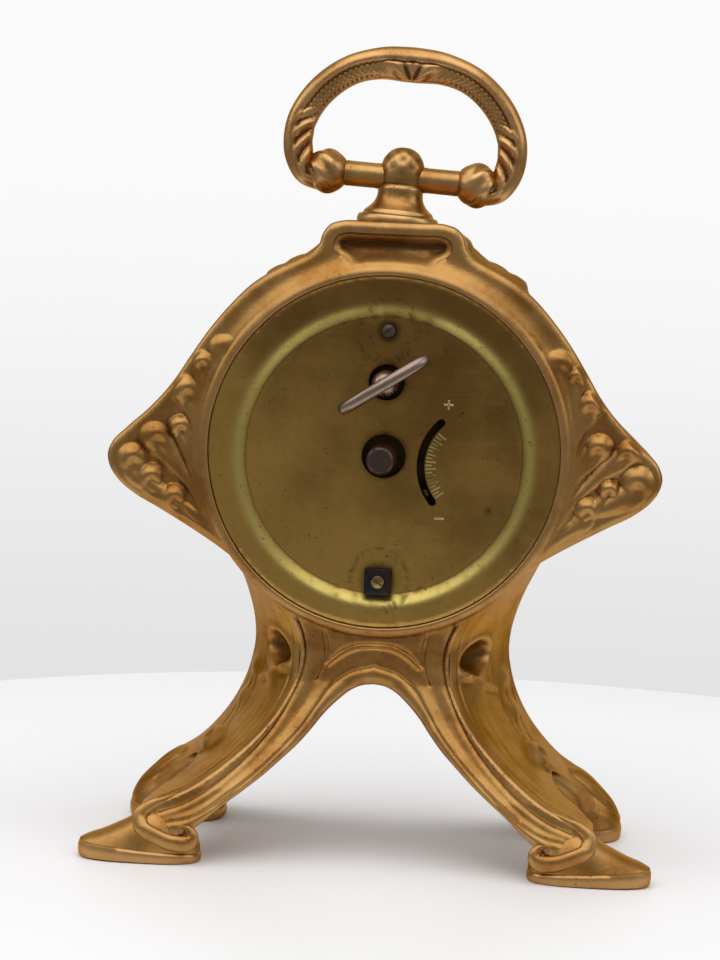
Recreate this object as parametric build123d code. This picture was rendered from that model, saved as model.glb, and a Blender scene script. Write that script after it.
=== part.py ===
from build123d import *
import math
import os

# A small gilt table clock: two soldered castings on four splayed feet, a swinging bail handle on top
# and a back-wound balance movement closed by a dished brass cover.
# Lengths are millimetres. +Z is up, the table is at zero, the dial faces -Y and the winding side +Y.

# Castings, overall
crown_z = 100.3
wing_half_width = 43.8
drum_z = 64.3
front_face_y = -13.5
seam_y = -4.0
rear_field_y = 10.5
wall = 2.6

# Upper outline, as shares of wing_half_width and crown_z, from the crown down one side
crown_shares = [(0, 1), (0.205, 0.999), (0.251, 0.983), (0.269, 0.959), (0.320, 0.941)]
flank_shares = [(0.320, 0.941), (0.493, 0.897), (0.653, 0.818), (0.770, 0.738), (0.943, 0.658), (0.999, 0.617),
                (0.950, 0.574), (0.776, 0.528), (0.557, 0.472), (0.498, 0.439)]
lip_width = 1.3
lip_height = 0.8
panel_half_width = 9.4
panel_bottom_z = 93.7
panel_top_z = 98.4
panel_round = 2.2
panel_depth = 1.2

# Waist and legs: height, half widths and depths of the rear and front corners at each level
leg_levels_z = [46.0, 38.0, 33.0, 28.0, 23.0, 18.5, 14.5, 11.5, 7.5]
rear_half_widths = [21.8, 13.8, 11.9, 12.3, 15.0, 18.8, 23.4, 27.8, 36.5]
front_half_widths = [21.8, 21.6, 21.0, 21.7, 23.4, 25.8, 29.2, 32.6, 38.6]
rear_corners_y = [10.5, 10.8, 11.4, 12.6, 14.6, 16.8, 19.0, 20.8, 22.8]
front_corners_y = [-13.5, -13.7, -14.0, -14.8, -16.2, -18.0, -20.0, -21.5, -23.2]

# Arch between the left and right legs, as shares of its half span and height
arch_half_span = 26.3
arch_z = 27.7
arch_shares = [(0, 1), (0.146, 0.955), (0.321, 0.787), (0.473, 0.617), (0.665, 0.451), (0.776, 0.368),
               (0.905, 0.245), (0.985, 0.130), (1, 0)]
side_arch_half_span = 17.0
side_arch_z = 12.5

# Feet: slippers with the toe pointing outwards
foot_heel_x = 26.0
foot_length = 18.5
foot_height = 8.3
foot_outer_y = 25.0
foot_breadth = 10.5
foot_round = 4.2
foot_shares = [(0, 0.14), (0.09, 0.52), (0.28, 0.84), (0.55, 1), (0.80, 0.74), (0.97, 0.44), (1, 0.28),
               (0.96, 0.09)]
sole_shares = [(0.96, 0.09), (0.90, 0), (0.04, 0), (0, 0.14)]

# Drum of the rear casting and bezel seat of the front casting
drum_bore_radius = 26.0
cover_seat_width = 1.6
cover_seat_radius = drum_bore_radius + cover_seat_width
drum_rim_width = 1.2
drum_radius = cover_seat_radius + drum_rim_width
drum_rise = 1.7
drum_rear_y = rear_field_y + drum_rise
cover_seat_depth = 0.7
cover_seat_y = drum_rear_y - cover_seat_depth
bezel_seat_width = 3.6
bezel_seat_radius = drum_bore_radius + bezel_seat_width
bezel_seat_rise = 0.8
bezel_seat_y = front_face_y - bezel_seat_rise

# Handle: everything on the leaning axis is drawn upright about the post foot and tipped together
handle_lean = 3.3
post_y = -1.5
post_flange_radius = 6.5
post_flange_thickness = 1.3
post_neck_radius = 3.4
post_flare_top = 4.6
post_ball_radius = 3.55
post_ball_rise = 9.4
post_shank_radius = 2.0
post_shank_length = 4.4
shank_clearance = 0.05
rod_rise = 7.3
rod_radius = 2.1
rod_clearance = 0.05
end_ball_offset = 12.0
end_ball_radius = 3.4
rod_reach = 13.6
bail_half_width = 17.2
bail_rise = 18.1
bail_shares = [(0, 1), (0.29, 0.988), (0.56, 0.905), (0.767, 0.752), (0.907, 0.586), (0.983, 0.420), (1, 0.254),
               (0.97, 0.09), (0.87, -0.05), (0.72, -0.06)]
bail_band_width = 4.8
bail_band_depth = 4.2
bail_boss_length = 13.0
bail_boss_width = 6.4

# Movement frame, centred a little below the drum
movement_drop = 0.6
movement_z = drum_z - movement_drop
movement_bore_radius = drum_bore_radius - movement_drop
plate_clearance = 1.4
plate_radius = movement_bore_radius - plate_clearance
plate_thickness = 1.0
front_plate_y = -7.5
plate_gap = 14.3
rear_plate_y = front_plate_y + plate_gap
rear_plate_back_y = rear_plate_y + plate_thickness
front_plate_face_y = front_plate_y - plate_thickness
pillar_inset = 2.7
pillar_ring_radius = plate_radius - pillar_inset
pillar_radius = 1.2
pillar_shank_radius = 0.8
pillar_bearings = [50, 130, 230, 310]
pillar_nut_radius = 1.7
pillar_nut_height = 1.3
pivot_radius = 0.5
pivot_clearance = 0.03

# Back cover: a flat rim with a dished disc, two wide holes and the regulator slot
cover_clearance = 0.2
cover_radius = cover_seat_radius - cover_clearance
cover_sheet = 0.5
cover_rear_y = cover_seat_y + cover_sheet
cover_rim_width = 3.0
dish_depth = 1.0
dish_slope_width = 2.5
dish_brow_radius = cover_radius - cover_rim_width
dish_floor_radius = dish_brow_radius - dish_slope_width
winding_hole_radius = 2.83
setting_hole_radius = 3.45
nut_width = 4.2
nut_height = 1.7
nut_margin = 0.15
stud_offset = dish_floor_radius - nut_width / 2 - nut_margin
stud_radius = 1.0
stud_clearance = 0.1
stud_slot_width = 0.35
stud_slot_depth = 0.4
stud_proud = 0.35

# Wheel train: places seen from the back, right and up from the movement axis
winding_place = (0, 11.6)
third_place = (-7.8, -5.46)
fourth_place = (-2.45, -11.83)
escape_place = (4.72, -10.57)
lever_place = (8.8, -6.76)
balance_place = (14.9, -1.1)
great_teeth, great_module = 60, 0.3412
centre_teeth, centre_module = 60, 0.28
third_teeth, fourth_teeth, train_module = 56, 48, 0.26
pinion_leaves = 8
wheel_thickness = 0.8
addendum_share = 0.9
dedendum_share = 1.3
root_width_share = 0.50
tip_width_share = 0.16
pin_width_share = 0.38
shroud_share = 0.9
shroud_thickness = 0.3
train_arbor_radius = 0.7

# Heights of the train above the front plate
centre_wheel_rise = 1.5
centre_pinion_rises = (3.3, 5.7)
centre_pipe_rises = (0.9, 6.0)
great_wheel_rise = 4.1
ratchet_rise = 5.2
mainspring_rises = (6.6, 12.4)
third_pinion_rises = (0.9, 2.9)
third_wheel_rise = 8.5
fourth_pinion_rises = (7.9, 9.9)
fourth_wheel_rise = 5.0
escape_pinion_rises = (4.4, 6.4)
escape_wheel_rise = 10.0
lever_rise = 10.0
balance_rise = 11.8
hairspring_rise = 13.4

# Winding
winding_arbor_radius = 1.3
winding_square = 1.7
winding_end_reach = 4.6
winding_end_y = cover_rear_y + winding_end_reach
great_bore_clearance = 0.03
ratchet_teeth = 18
ratchet_radius = 3.4
ratchet_depth = 0.5
ratchet_thickness = 0.9
click_gap = 0.12
click_length = 4.6
click_width = 1.3
click_spring_width = 0.35
click_spring_length = 4.0
key_turn = 32
key_pipe_radius = 1.95
key_pipe_lift = 0.9
key_pipe_length = 6.1
key_pipe_y = (cover_rear_y + key_pipe_lift, cover_rear_y + key_pipe_lift + key_pipe_length)
key_square_clearance = 0.05
key_bow_half_length = 7.1
key_bow_half_depth = 2.9
key_bow_rise = 1.9
key_bow_y = key_pipe_y[1] + key_bow_rise
key_wire_radius = 0.95
mainspring_inner_radius = 1.6
mainspring_outer_radius = 8.9
mainspring_sheet = 0.22
mainspring_turns = 11
spiral_steps_per_turn = 24

# Escapement and regulator
escape_teeth = 15
escape_radius = 4.2
escape_root_radius = 3.1
lever_thickness = 0.7
lever_arm = 3.3
lever_arm_width = 0.9
lever_pin_radius = 0.3
lever_pin_length = 1.0
lever_pin_spread = 68
lever_fork_length = 5.0
lever_hub_radius = 1.1
balance_radius = 7.2
balance_rim_width = 1.3
balance_thickness = 1.2
balance_spoke_width = 1.2
balance_hub_radius = 1.4
staff_radius = 0.6
staff_point_radius = 0.25
balance_screw_radius = 1.1
balance_screw_cup_depth = 0.5
balance_screw_grip = 0.5
hairspring_inner_radius = 0.9
hairspring_outer_radius = 4.6
hairspring_sheet = 0.10
hairspring_height = 0.3
hairspring_turns = 9
regulator_thickness = 0.5
regulator_lift = 0.3
regulator_ring_radius = 2.4
regulator_reach = 9.04
regulator_arm_width = 1.4
regulator_tab_width = 1.1
regulator_tab_depth = 0.5
regulator_tab_drop = 0.1
regulator_tab_y = cover_rear_y - regulator_tab_drop
regulator_rest_bearing = 208
slot_bearings = (132, 219.5)
slot_half_width = 0.62

# Motion work, hands, dial, bezel and glass
centre_arbor_radius = 0.8
centre_pipe_radius = 1.1
cannon_pipe_radius = 1.05
cannon_leaves, minute_wheel_teeth, minute_pinion_leaves, hour_wheel_teeth = 10, 30, 8, 32
motion_module = 0.3
minute_wheel_place = (0, -6.0)
minute_post_radius = 0.7
hour_pipe_radius = 1.5
motion_first_drop = 0.4
motion_second_drop = 1.5
motion_thickness = 0.7
dial_drop = 3.0
dial_thickness = 0.4
dial_clearance = 0.4
dial_radius = movement_bore_radius - dial_clearance
dial_hole_radius = 2.2
dial_foot_radius = 0.6
dial_foot_offset = 17.0
dial_foot_bearings = [80, 260]
hour_hand_drop = 3.9
minute_hand_drop = 4.8
hand_thickness = 0.3
hour_hand_length = 12.0
minute_hand_length = 18.5
hand_width = 1.6
hand_tail_share = 0.28
hand_eye_radius = 2.0
hour_hand_bearing = 52
minute_hand_bearing = 126
arbor_front_drop = 5.5
knob_radius = 2.2
knob_lift = 0.6
knob_length = 9.8
knob_y = (cover_rear_y + knob_lift, cover_rear_y + knob_lift + knob_length)
knob_chamfer = 0.5
bezel_skirt_clearance = 0.2
bezel_skirt_radius = movement_bore_radius - bezel_skirt_clearance
bezel_skirt_sheet = 0.9
bezel_seat_margin = 1.0
bezel_flange_radius = bezel_seat_radius - bezel_seat_margin
bezel_height = 2.7
bezel_front_y = bezel_seat_y - bezel_height
glass_clearance = 0.1
glass_radius = bezel_skirt_radius - bezel_skirt_sheet - glass_clearance
bezel_lip_width = 0.6
bezel_lip_radius = glass_radius - bezel_lip_width
glass_sink = 0.8
glass_thickness = 1.2
glass_y = (bezel_front_y + glass_sink, bezel_front_y + glass_sink + glass_thickness)


def turned(place_x, place_z, y_from, y_to, radius):
    """A round bar along Y."""
    bar = Rot(90, 0, 0) * Cylinder(radius, abs(y_to - y_from))
    return Pos(place_x, (y_from + y_to) / 2, place_z) * bar


def seen_from_back(place):
    """World X and Z of a place given to the right of and above the movement axis."""
    return -place[0], movement_z + place[1]


def on_axis(place, y_from, y_to, radius):
    """A round bar along Y at a place of the movement."""
    return turned(*seen_from_back(place), y_from, y_to, radius)


def bearing(start, end):
    """Angle from one place to another, counter-clockwise seen from the back."""
    return math.degrees(math.atan2(end[1] - start[1], end[0] - start[0]))


def around(place, angle, reach):
    """The place at an angle and distance from another place."""
    turn = math.radians(angle)
    return place[0] + reach * math.cos(turn), place[1] + reach * math.sin(turn)


def slab(places, y_from, y_to):
    """A flat plate with a straight-sided outline given as places of the movement."""
    points = [seen_from_back(place) for place in places]
    face = make_face(Plane.XZ.offset(-y_to) * Polyline(*points, close=True))
    return extrude(face, amount=y_to - y_from, dir=(0, -1, 0))


def strip(start, angle, length, width, y_from, y_to):
    """A straight bar of the movement laid from one place along a bearing."""
    half = width / 2
    corners = []
    for reach, side in ((0, half), (length, half), (length, -half), (0, -half)):
        corners.append(around(around(start, angle, reach), angle + 90, side))
    return slab(corners, y_from, y_to)


def scaled(shares, width, height):
    """Outline points from shares of a width and a height."""
    return [(share[0] * width, share[1] * height) for share in shares]


def toothed(place, teeth, module, space_bearing, y_from, y_to):
    """A wheel blank with slim teeth and a tooth space at the stated bearing."""
    pitch_radius = teeth * module / 2
    root = pitch_radius - dedendum_share * module
    tip = pitch_radius + addendum_share * module
    step = 360 / teeth
    points = []
    for number in range(teeth):
        middle = space_bearing + (number + 0.5) * step
        for side, radius, width in ((-0.5, root, root_width_share), (-0.5, tip, tip_width_share),
                                    (0.5, tip, tip_width_share), (0.5, root, root_width_share)):
            points.append(around(place, middle + side * width * step, radius))
    return slab(points, y_from, y_to)


def lantern(place, module, pin_bearing, rises):
    """A pinion of round pins between two shrouds."""
    pitch_radius = pinion_leaves * module / 2
    pin_radius = pin_width_share * math.pi * module / 2
    y_from, y_to = front_plate_y + rises[0], front_plate_y + rises[1]
    shroud_radius = pitch_radius + shroud_share * module
    body = on_axis(place, y_from, y_from + shroud_thickness, shroud_radius)
    body += on_axis(place, y_to - shroud_thickness, y_to, shroud_radius)
    for number in range(pinion_leaves):
        spot = around(place, pin_bearing + number * 360 / pinion_leaves, pitch_radius)
        body += on_axis(spot, y_from, y_to, pin_radius)
    return body


def spiral(place, inner, outer, sheet, turns, start_bearing, y_from, y_to):
    """A flat coiled spring strip."""
    count = turns * spiral_steps_per_turn
    sides = ([], [])
    for number in range(count + 1):
        radius = inner + (outer - inner) * number / count
        angle = start_bearing + 360 * turns * number / count
        sides[0].append(around(place, angle, radius))
        sides[1].append(around(place, angle, radius + sheet))
    return slab(sides[0] + sides[1][::-1], y_from, y_to)


def hand(length, turn, y_from, y_to, hole_radius):
    """A tapering hand with a round eye and a short tail."""
    half = hand_width / 2
    middle = (0, 0)
    tip = around(middle, turn, length)
    tail = around(middle, turn + 180, length * hand_tail_share)
    blade = slab([tip, around(middle, turn + 90, half), tail, around(middle, turn - 90, half)], y_from, y_to)
    blade += on_axis(middle, y_from, y_to, hand_eye_radius)
    return blade - on_axis(middle, y_from, y_to, hole_radius)


def inset_points(shares, inset):
    """Outline points drawn in towards the drum centre, by the inset at the wing tip."""
    keep = 1 - inset / wing_half_width
    points = scaled(shares, wing_half_width, crown_z)
    return [(x * keep, drum_z + (z - drum_z) * keep) for x, z in points]


def upper_outline(inset=0):
    """Front view of the winged upper part of the castings."""
    crown = Polyline(*inset_points(crown_shares, inset))
    flank = Spline(*inset_points(flank_shares, inset))
    half = crown.edges() + flank.edges()
    far = [mirror(edge, about=Plane.YZ) for edge in half]
    foot_x, foot_z = inset_points(flank_shares, inset)[-1]
    return make_face([*half, *far, Line((-foot_x, foot_z), (foot_x, foot_z))])


def drawn_on(y, face):
    """A front-view outline moved to a depth."""
    return Plane.XZ.offset(-y) * face


def prism(face, y_from, y_to):
    """A front-view outline stretched between two depths."""
    return extrude(drawn_on(y_to, face), amount=y_to - y_from, dir=(0, -1, 0))


def arch_cut():
    """The open space between the left and right legs."""
    curve = Spline(*scaled(arch_shares, arch_half_span, arch_z))
    far = mirror(curve, about=Plane.YZ)
    floor_z = -foot_height
    below = Polyline((arch_half_span, 0), (arch_half_span, floor_z), (-arch_half_span, floor_z),
                     (-arch_half_span, 0))
    face = make_face([*curve.edges(), *far.edges(), *below.edges()])
    return prism(face, -2 * foot_outer_y, 2 * foot_outer_y)


def side_arch_cut():
    """The open space between the front and rear feet of one side."""
    opening = Plane.YZ.offset(-2 * wing_half_width) * Ellipse(side_arch_half_span, side_arch_z)
    return extrude(opening, amount=4 * wing_half_width, dir=(1, 0, 0))


def foot():
    """One slipper foot, at the rear on the +X side."""
    upper = Spline(*scaled(foot_shares, foot_length, foot_height))
    sole = Polyline(*scaled(sole_shares, foot_length, foot_height))
    face = make_face([*upper.edges(), *sole.edges()])
    block = prism(face, foot_outer_y - foot_breadth, foot_outer_y)
    plan = Pos(foot_length / 2, foot_outer_y - foot_breadth / 2) * RectangleRounded(foot_length, foot_breadth, foot_round)
    return Pos(foot_heel_x, 0, 0) * (block & extrude(plan, amount=foot_height))


def leg_block():
    """Waist and flaring legs, lofted through level sections and opened by the arches, with a foot on each."""
    sections = []
    for level, rear, front, rear_y, front_y in zip(leg_levels_z, rear_half_widths, front_half_widths,
                                                   rear_corners_y, front_corners_y):
        corners = [(-rear, rear_y), (rear, rear_y), (front, front_y), (-front, front_y)]
        sections.append(Pos(0, 0, level) * make_face(Polyline(*corners, close=True)))
    legs = loft(sections, ruled=True) - arch_cut() - side_arch_cut()
    slipper = foot()
    for side in (slipper, mirror(slipper, about=Plane.YZ)):
        legs += side
        legs += mirror(side, about=Plane.XZ)
    return legs


def castings():
    """Front and rear castings, cut from one winged body at the soldered seam."""
    body = prism(upper_outline(), front_face_y, rear_field_y) + leg_block()
    body += turned(0, drum_z, rear_field_y - wall, drum_rear_y, drum_radius)
    body += turned(0, drum_z, front_face_y + wall, bezel_seat_y, bezel_seat_radius)
    sunk = prism(upper_outline(lip_width), rear_field_y - lip_height, rear_field_y)
    sunk -= turned(0, drum_z, rear_field_y - wall, drum_rear_y, drum_radius)
    body -= sunk
    panel_height = panel_top_z - panel_bottom_z
    panel = Pos(0, panel_bottom_z + panel_height / 2) * RectangleRounded(2 * panel_half_width, panel_height, panel_round)
    body -= prism(panel, rear_field_y - lip_height - panel_depth, rear_field_y)
    hollow = prism(upper_outline(wall), front_face_y + wall, rear_field_y - lip_height - wall)
    hollow -= turned(0, drum_z, front_face_y, drum_rear_y, drum_radius)
    body -= hollow
    body -= turned(0, drum_z, bezel_seat_y, drum_rear_y, drum_bore_radius)
    body -= turned(0, drum_z, cover_seat_y, drum_rear_y, cover_seat_radius)
    body -= Pos(0, post_y, crown_z) * Cylinder(post_shank_radius + shank_clearance, 2 * post_shank_length)
    reach = 4 * wing_half_width
    rear_half = body & Pos(0, seam_y + reach / 2, 0) * Box(reach, reach, reach * 2)
    front_half = body & Pos(0, seam_y - reach / 2, 0) * Box(reach, reach, reach * 2)
    return rear_half, front_half


def tipped(shape):
    """A piece drawn upright about the post foot, set on the crown with the handle's lean."""
    return Pos(0, post_y, crown_z) * Rot(0, -handle_lean, 0) * shape


def handle_post():
    """Turned post: flange, flaring neck, cross hole and ball finial, with a shank into the crown."""
    profile = Polyline((0, 0), (post_flange_radius, 0), (post_flange_radius, post_flange_thickness))
    flare = Spline((post_flange_radius, post_flange_thickness),
                   ((post_flange_radius + post_neck_radius) / 2 - post_flange_thickness / 2, post_flare_top / 2),
                   (post_neck_radius, post_flare_top))
    top = Polyline((post_neck_radius, post_flare_top), (post_neck_radius, post_ball_rise), (0, post_ball_rise), (0, 0))
    section = Plane.XZ * make_face([*profile.edges(), *flare.edges(), *top.edges()])
    body = revolve(section, axis=Axis.Z)
    body += Pos(0, 0, post_ball_rise) * Sphere(post_ball_radius)
    body -= Pos(0, 0, rod_rise) * Rot(0, 90, 0) * Cylinder(rod_radius + rod_clearance, 4 * post_flange_radius)
    body = tipped(body) - Pos(0, post_y, crown_z - crown_z / 2) * Box(crown_z, crown_z, crown_z)
    shank_top = crown_z + post_flange_thickness
    shank_middle = (shank_top + crown_z - post_shank_length) / 2
    return body + Pos(0, post_y, shank_middle) * Cylinder(post_shank_radius, post_shank_length + post_flange_thickness)


def handle_rod():
    """Cross rod that turns in the post."""
    return tipped(Pos(0, 0, rod_rise) * Rot(0, 90, 0) * Cylinder(rod_radius, 2 * rod_reach))


def handle_bail():
    """Cast bail with a boss at the top and a ball on each end."""
    points = [(share[0] * bail_half_width, share[1] * bail_rise) for share in bail_shares]
    near = Plane.XZ * Spline(*points)
    section = Plane(near.position_at(0), x_dir=(0, 1, 0), z_dir=near.tangent_at(0))
    half = sweep(section * Ellipse(bail_band_depth / 2, bail_band_width / 2), path=near)
    ball = Pos(end_ball_offset, 0, 0) * Sphere(end_ball_radius)
    half += ball
    upper_half = Pos(0, bail_boss_width / 4) * Rectangle(bail_boss_length, bail_boss_width / 2)
    oval = Plane.XZ * (Ellipse(bail_boss_length / 2, bail_boss_width / 2) & upper_half)
    boss = Pos(0, 0, bail_rise) * revolve(oval, axis=Axis.X)
    bail = half + mirror(half, about=Plane.YZ) + boss
    bail -= Rot(0, 90, 0) * Cylinder(rod_radius, 2 * rod_reach)
    return tipped(Pos(0, 0, rod_rise) * bail)


def regulator_slot(y_from, y_to):
    """Curved slot that the regulator tab sweeps."""
    points = []
    low, high = slot_bearings
    steps = spiral_steps_per_turn
    for number in range(steps + 1):
        angle = low + (high - low) * number / steps
        points.append(around(balance_place, angle, regulator_reach + slot_half_width))
    for number in range(steps, -1, -1):
        angle = low + (high - low) * number / steps
        points.append(around(balance_place, angle, regulator_reach - slot_half_width))
    body = slab(points, y_from, y_to)
    for angle in slot_bearings:
        body += on_axis(around(balance_place, angle, regulator_reach), y_from, y_to, slot_half_width)
    return body


def back_cover():
    """Dished sheet cover with its holes."""
    floor_y = cover_rear_y - dish_depth
    rim = cover_radius + 2 * movement_drop
    section = [(0, floor_y), (dish_floor_radius, floor_y), (dish_brow_radius, cover_rear_y), (rim, cover_rear_y),
               (rim, cover_seat_y), (dish_brow_radius, cover_seat_y), (dish_floor_radius, floor_y - cover_sheet),
               (0, floor_y - cover_sheet)]
    face = make_face(Polyline(*section, close=True))
    sheet = Pos(0, 0, movement_z) * revolve(face, axis=Axis.Y)
    sheet &= turned(0, drum_z, floor_y - cover_sheet, cover_rear_y, cover_radius)
    through = (floor_y - cover_sheet, cover_rear_y)
    sheet -= on_axis(winding_place, *through, winding_hole_radius)
    sheet -= on_axis((0, 0), *through, setting_hole_radius)
    for side in (stud_offset, -stud_offset):
        sheet -= on_axis((0, side), *through, stud_radius + stud_clearance)
    return sheet - regulator_slot(*through)


def clamp_studs():
    """Two slotted studs on the rear plate that carry the cover."""
    group = []
    end_y = cover_rear_y - dish_depth + nut_height + stud_proud
    for side, slot_turn in ((stud_offset, 30), (-stud_offset, -30)):
        stud = on_axis((0, side), rear_plate_y, end_y, stud_radius)
        groove = strip(around((0, side), slot_turn, -nut_width), slot_turn, 2 * nut_width, stud_slot_width,
                       end_y - stud_slot_depth, end_y)
        group.append(stud - groove)
    return Compound(children=group)


def square_nut():
    """Square nut on the lower stud, seated on the cover's dish."""
    low_y = cover_rear_y - dish_depth
    block = strip((-nut_width / 2, -stud_offset), 0, nut_width, nut_width, low_y, low_y + nut_height)
    return block - on_axis((0, -stud_offset), low_y, low_y + nut_height, stud_radius)


def drilled(plate, places, radius, y_from, y_to):
    """A plate with a round hole at each place."""
    for place in places:
        plate -= on_axis(place, y_from, y_to, radius)
    return plate


def pillar_places():
    """Where the four pillars stand."""
    return [around((0, 0), angle, pillar_ring_radius) for angle in pillar_bearings]


def front_plate():
    """Plate next to the dial, with the post of the minute wheel."""
    faces = (front_plate_face_y, front_plate_y)
    plate = on_axis((0, 0), *faces, plate_radius)
    small = pivot_radius + pivot_clearance
    plate = drilled(plate, [third_place, fourth_place, escape_place, lever_place], small, *faces)
    plate = drilled(plate, [winding_place], winding_arbor_radius + pivot_clearance, *faces)
    plate = drilled(plate, [(0, 0)], centre_arbor_radius + pivot_clearance, *faces)
    plate = drilled(plate, [balance_place], balance_screw_radius, *faces)
    plate = drilled(plate, pillar_places(), pillar_shank_radius, *faces)
    feet = [around((0, 0), angle, dial_foot_offset) for angle in dial_foot_bearings]
    plate = drilled(plate, feet, dial_foot_radius, *faces)
    post_end_y = front_plate_face_y - motion_second_drop - 2 * motion_thickness
    return plate + on_axis(minute_wheel_place, post_end_y, front_plate_face_y, minute_post_radius)


def rear_plate():
    """Plate next to the cover."""
    faces = (rear_plate_y, rear_plate_back_y)
    plate = on_axis((0, 0), *faces, plate_radius)
    small = pivot_radius + pivot_clearance
    plate = drilled(plate, [third_place, fourth_place, escape_place, lever_place], small, *faces)
    plate = drilled(plate, [winding_place], winding_arbor_radius + pivot_clearance, *faces)
    plate = drilled(plate, [(0, 0)], centre_arbor_radius + pivot_clearance, *faces)
    plate = drilled(plate, [balance_place], balance_screw_radius, *faces)
    plate = drilled(plate, [(0, stud_offset), (0, -stud_offset)], stud_radius, *faces)
    return drilled(plate, pillar_places(), pillar_shank_radius, *faces)


def plate_pillars():
    """Four pillars, shouldered into both plates and threaded at the back."""
    group = []
    for place in pillar_places():
        pillar = on_axis(place, front_plate_y, rear_plate_y, pillar_radius)
        pillar += on_axis(place, front_plate_face_y, rear_plate_back_y + pillar_nut_height, pillar_shank_radius)
        group.append(pillar)
    return Compound(children=group)


def pillar_nuts():
    """Six-sided nuts that hold the rear plate on the pillars."""
    group = []
    for place in pillar_places():
        corners = [around(place, 60 * number, pillar_nut_radius) for number in range(6)]
        top_y = rear_plate_back_y + pillar_nut_height
        nut = slab(corners, rear_plate_back_y, top_y)
        group.append(nut - on_axis(place, rear_plate_back_y, top_y, pillar_shank_radius))
    return Compound(children=group)


def balance_screws():
    """Two cupped screws that hold the pointed balance staff."""
    group = []
    for inner_y, outer_y in ((front_plate_y, front_plate_face_y), (rear_plate_y, rear_plate_back_y)):
        way = 1 if outer_y > inner_y else -1
        screw = on_axis(balance_place, inner_y, outer_y + way * balance_screw_grip, balance_screw_radius)
        cup_radius = staff_point_radius + pivot_clearance
        group.append(screw - on_axis(balance_place, inner_y, inner_y + way * balance_screw_cup_depth, cup_radius))
    return Compound(children=group)


def bored_wheel(place, teeth, module, space_bearing, rise, bore):
    """A train wheel with its centre hole."""
    y_from = front_plate_y + rise
    wheel = toothed(place, teeth, module, space_bearing, y_from, y_from + wheel_thickness)
    return wheel - on_axis(place, y_from, y_from + wheel_thickness, bore)


def arbored_pinion(place, module, pin_bearing, rises):
    """A lantern pinion on its arbor, with a pivot at each end in the plates."""
    body = lantern(place, module, pin_bearing, rises)
    shoulder = shroud_thickness
    body += on_axis(place, front_plate_y + shoulder, rear_plate_y - shoulder, train_arbor_radius)
    return body + on_axis(place, front_plate_face_y, rear_plate_back_y, pivot_radius)


def winding_arbor():
    """Round arbor with a squared end for the key."""
    round_end_y = rear_plate_back_y
    body = on_axis(winding_place, front_plate_face_y, round_end_y, winding_arbor_radius)
    start = (winding_place[0], winding_place[1])
    half = winding_square / 2
    corner = around(start, key_turn + 180, half)
    return body + strip(corner, key_turn, winding_square, winding_square, round_end_y, winding_end_y)


def winding_key():
    """Key with a squared pipe and an oval wire bow."""
    y_from, y_to = key_pipe_y
    pipe = on_axis(winding_place, y_from, y_to, key_pipe_radius)
    socket = winding_square + 2 * key_square_clearance
    corner = around(winding_place, key_turn + 180, socket / 2)
    pipe -= strip(corner, key_turn, socket, socket, y_from, winding_end_y + key_square_clearance)
    ring = Ellipse(key_bow_half_length, key_bow_half_depth).edge()
    section = Plane(ring.position_at(0), x_dir=(0, 0, 1), z_dir=ring.tangent_at(0))
    bow = sweep(section * Circle(key_wire_radius), path=ring)
    bow = Rot(0, key_turn, 0) * bow
    place_x, place_z = seen_from_back(winding_place)
    return pipe + Pos(place_x, key_bow_y, place_z) * bow


def ratchet_wheel():
    """Saw-toothed wheel fixed to the winding arbor."""
    step = 360 / ratchet_teeth
    points = []
    for number in range(ratchet_teeth):
        points.append(around(winding_place, number * step, ratchet_radius))
        points.append(around(winding_place, number * step, ratchet_radius - ratchet_depth))
    y_from = front_plate_y + ratchet_rise
    wheel = slab(points, y_from, y_from + ratchet_thickness)
    return wheel - on_axis(winding_place, y_from, y_from + ratchet_thickness, winding_arbor_radius)


def click_places():
    """Where the click points at the ratchet and where it pivots on the great wheel."""
    tip = around(winding_place, 200, ratchet_radius + click_gap + click_width / 2)
    return tip, around(tip, 250, click_length)


def click():
    """Pawl on the great wheel, riding on the ratchet teeth."""
    tip, heel = click_places()
    y_from = front_plate_y + great_wheel_rise + wheel_thickness
    y_to = front_plate_y + ratchet_rise + ratchet_thickness
    body = strip(tip, bearing(tip, heel), click_length, click_width, y_from, y_to)
    return body + on_axis(tip, y_from, y_to, click_width / 2) + on_axis(heel, y_from, y_to, click_width / 2)


def click_spring():
    """Straight spring that presses on the outer side of the click."""
    tip, heel = click_places()
    along = bearing(tip, heel)
    y_from = front_plate_y + great_wheel_rise + wheel_thickness
    outwards = along - 90
    start = around(around(tip, along, click_length / 4), outwards, (click_width + click_spring_width) / 2)
    return strip(start, along, click_spring_length, click_spring_width, y_from, y_from + click_spring_width)


def centre_pinion():
    """Lantern pinion and pipe that ride on the centre arbor."""
    middle = (0, 0)
    body = lantern(middle, great_module, bearing(middle, winding_place), centre_pinion_rises)
    pipe_from, pipe_to = (front_plate_y + rise for rise in centre_pipe_rises)
    body += on_axis(middle, pipe_from, pipe_to, centre_pipe_radius)
    return body - on_axis(middle, pipe_from, pipe_to, centre_arbor_radius + pivot_clearance)


def escape_wheel():
    """Fifteen pointed teeth."""
    step = 360 / escape_teeth
    points = []
    for number in range(escape_teeth):
        points.append(around(escape_place, number * step, escape_radius))
        points.append(around(escape_place, (number + 0.5) * step, escape_root_radius))
    y_from = front_plate_y + escape_wheel_rise
    wheel = slab(points, y_from, y_from + lever_thickness)
    return wheel - on_axis(escape_place, y_from, y_from + lever_thickness, train_arbor_radius)


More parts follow.
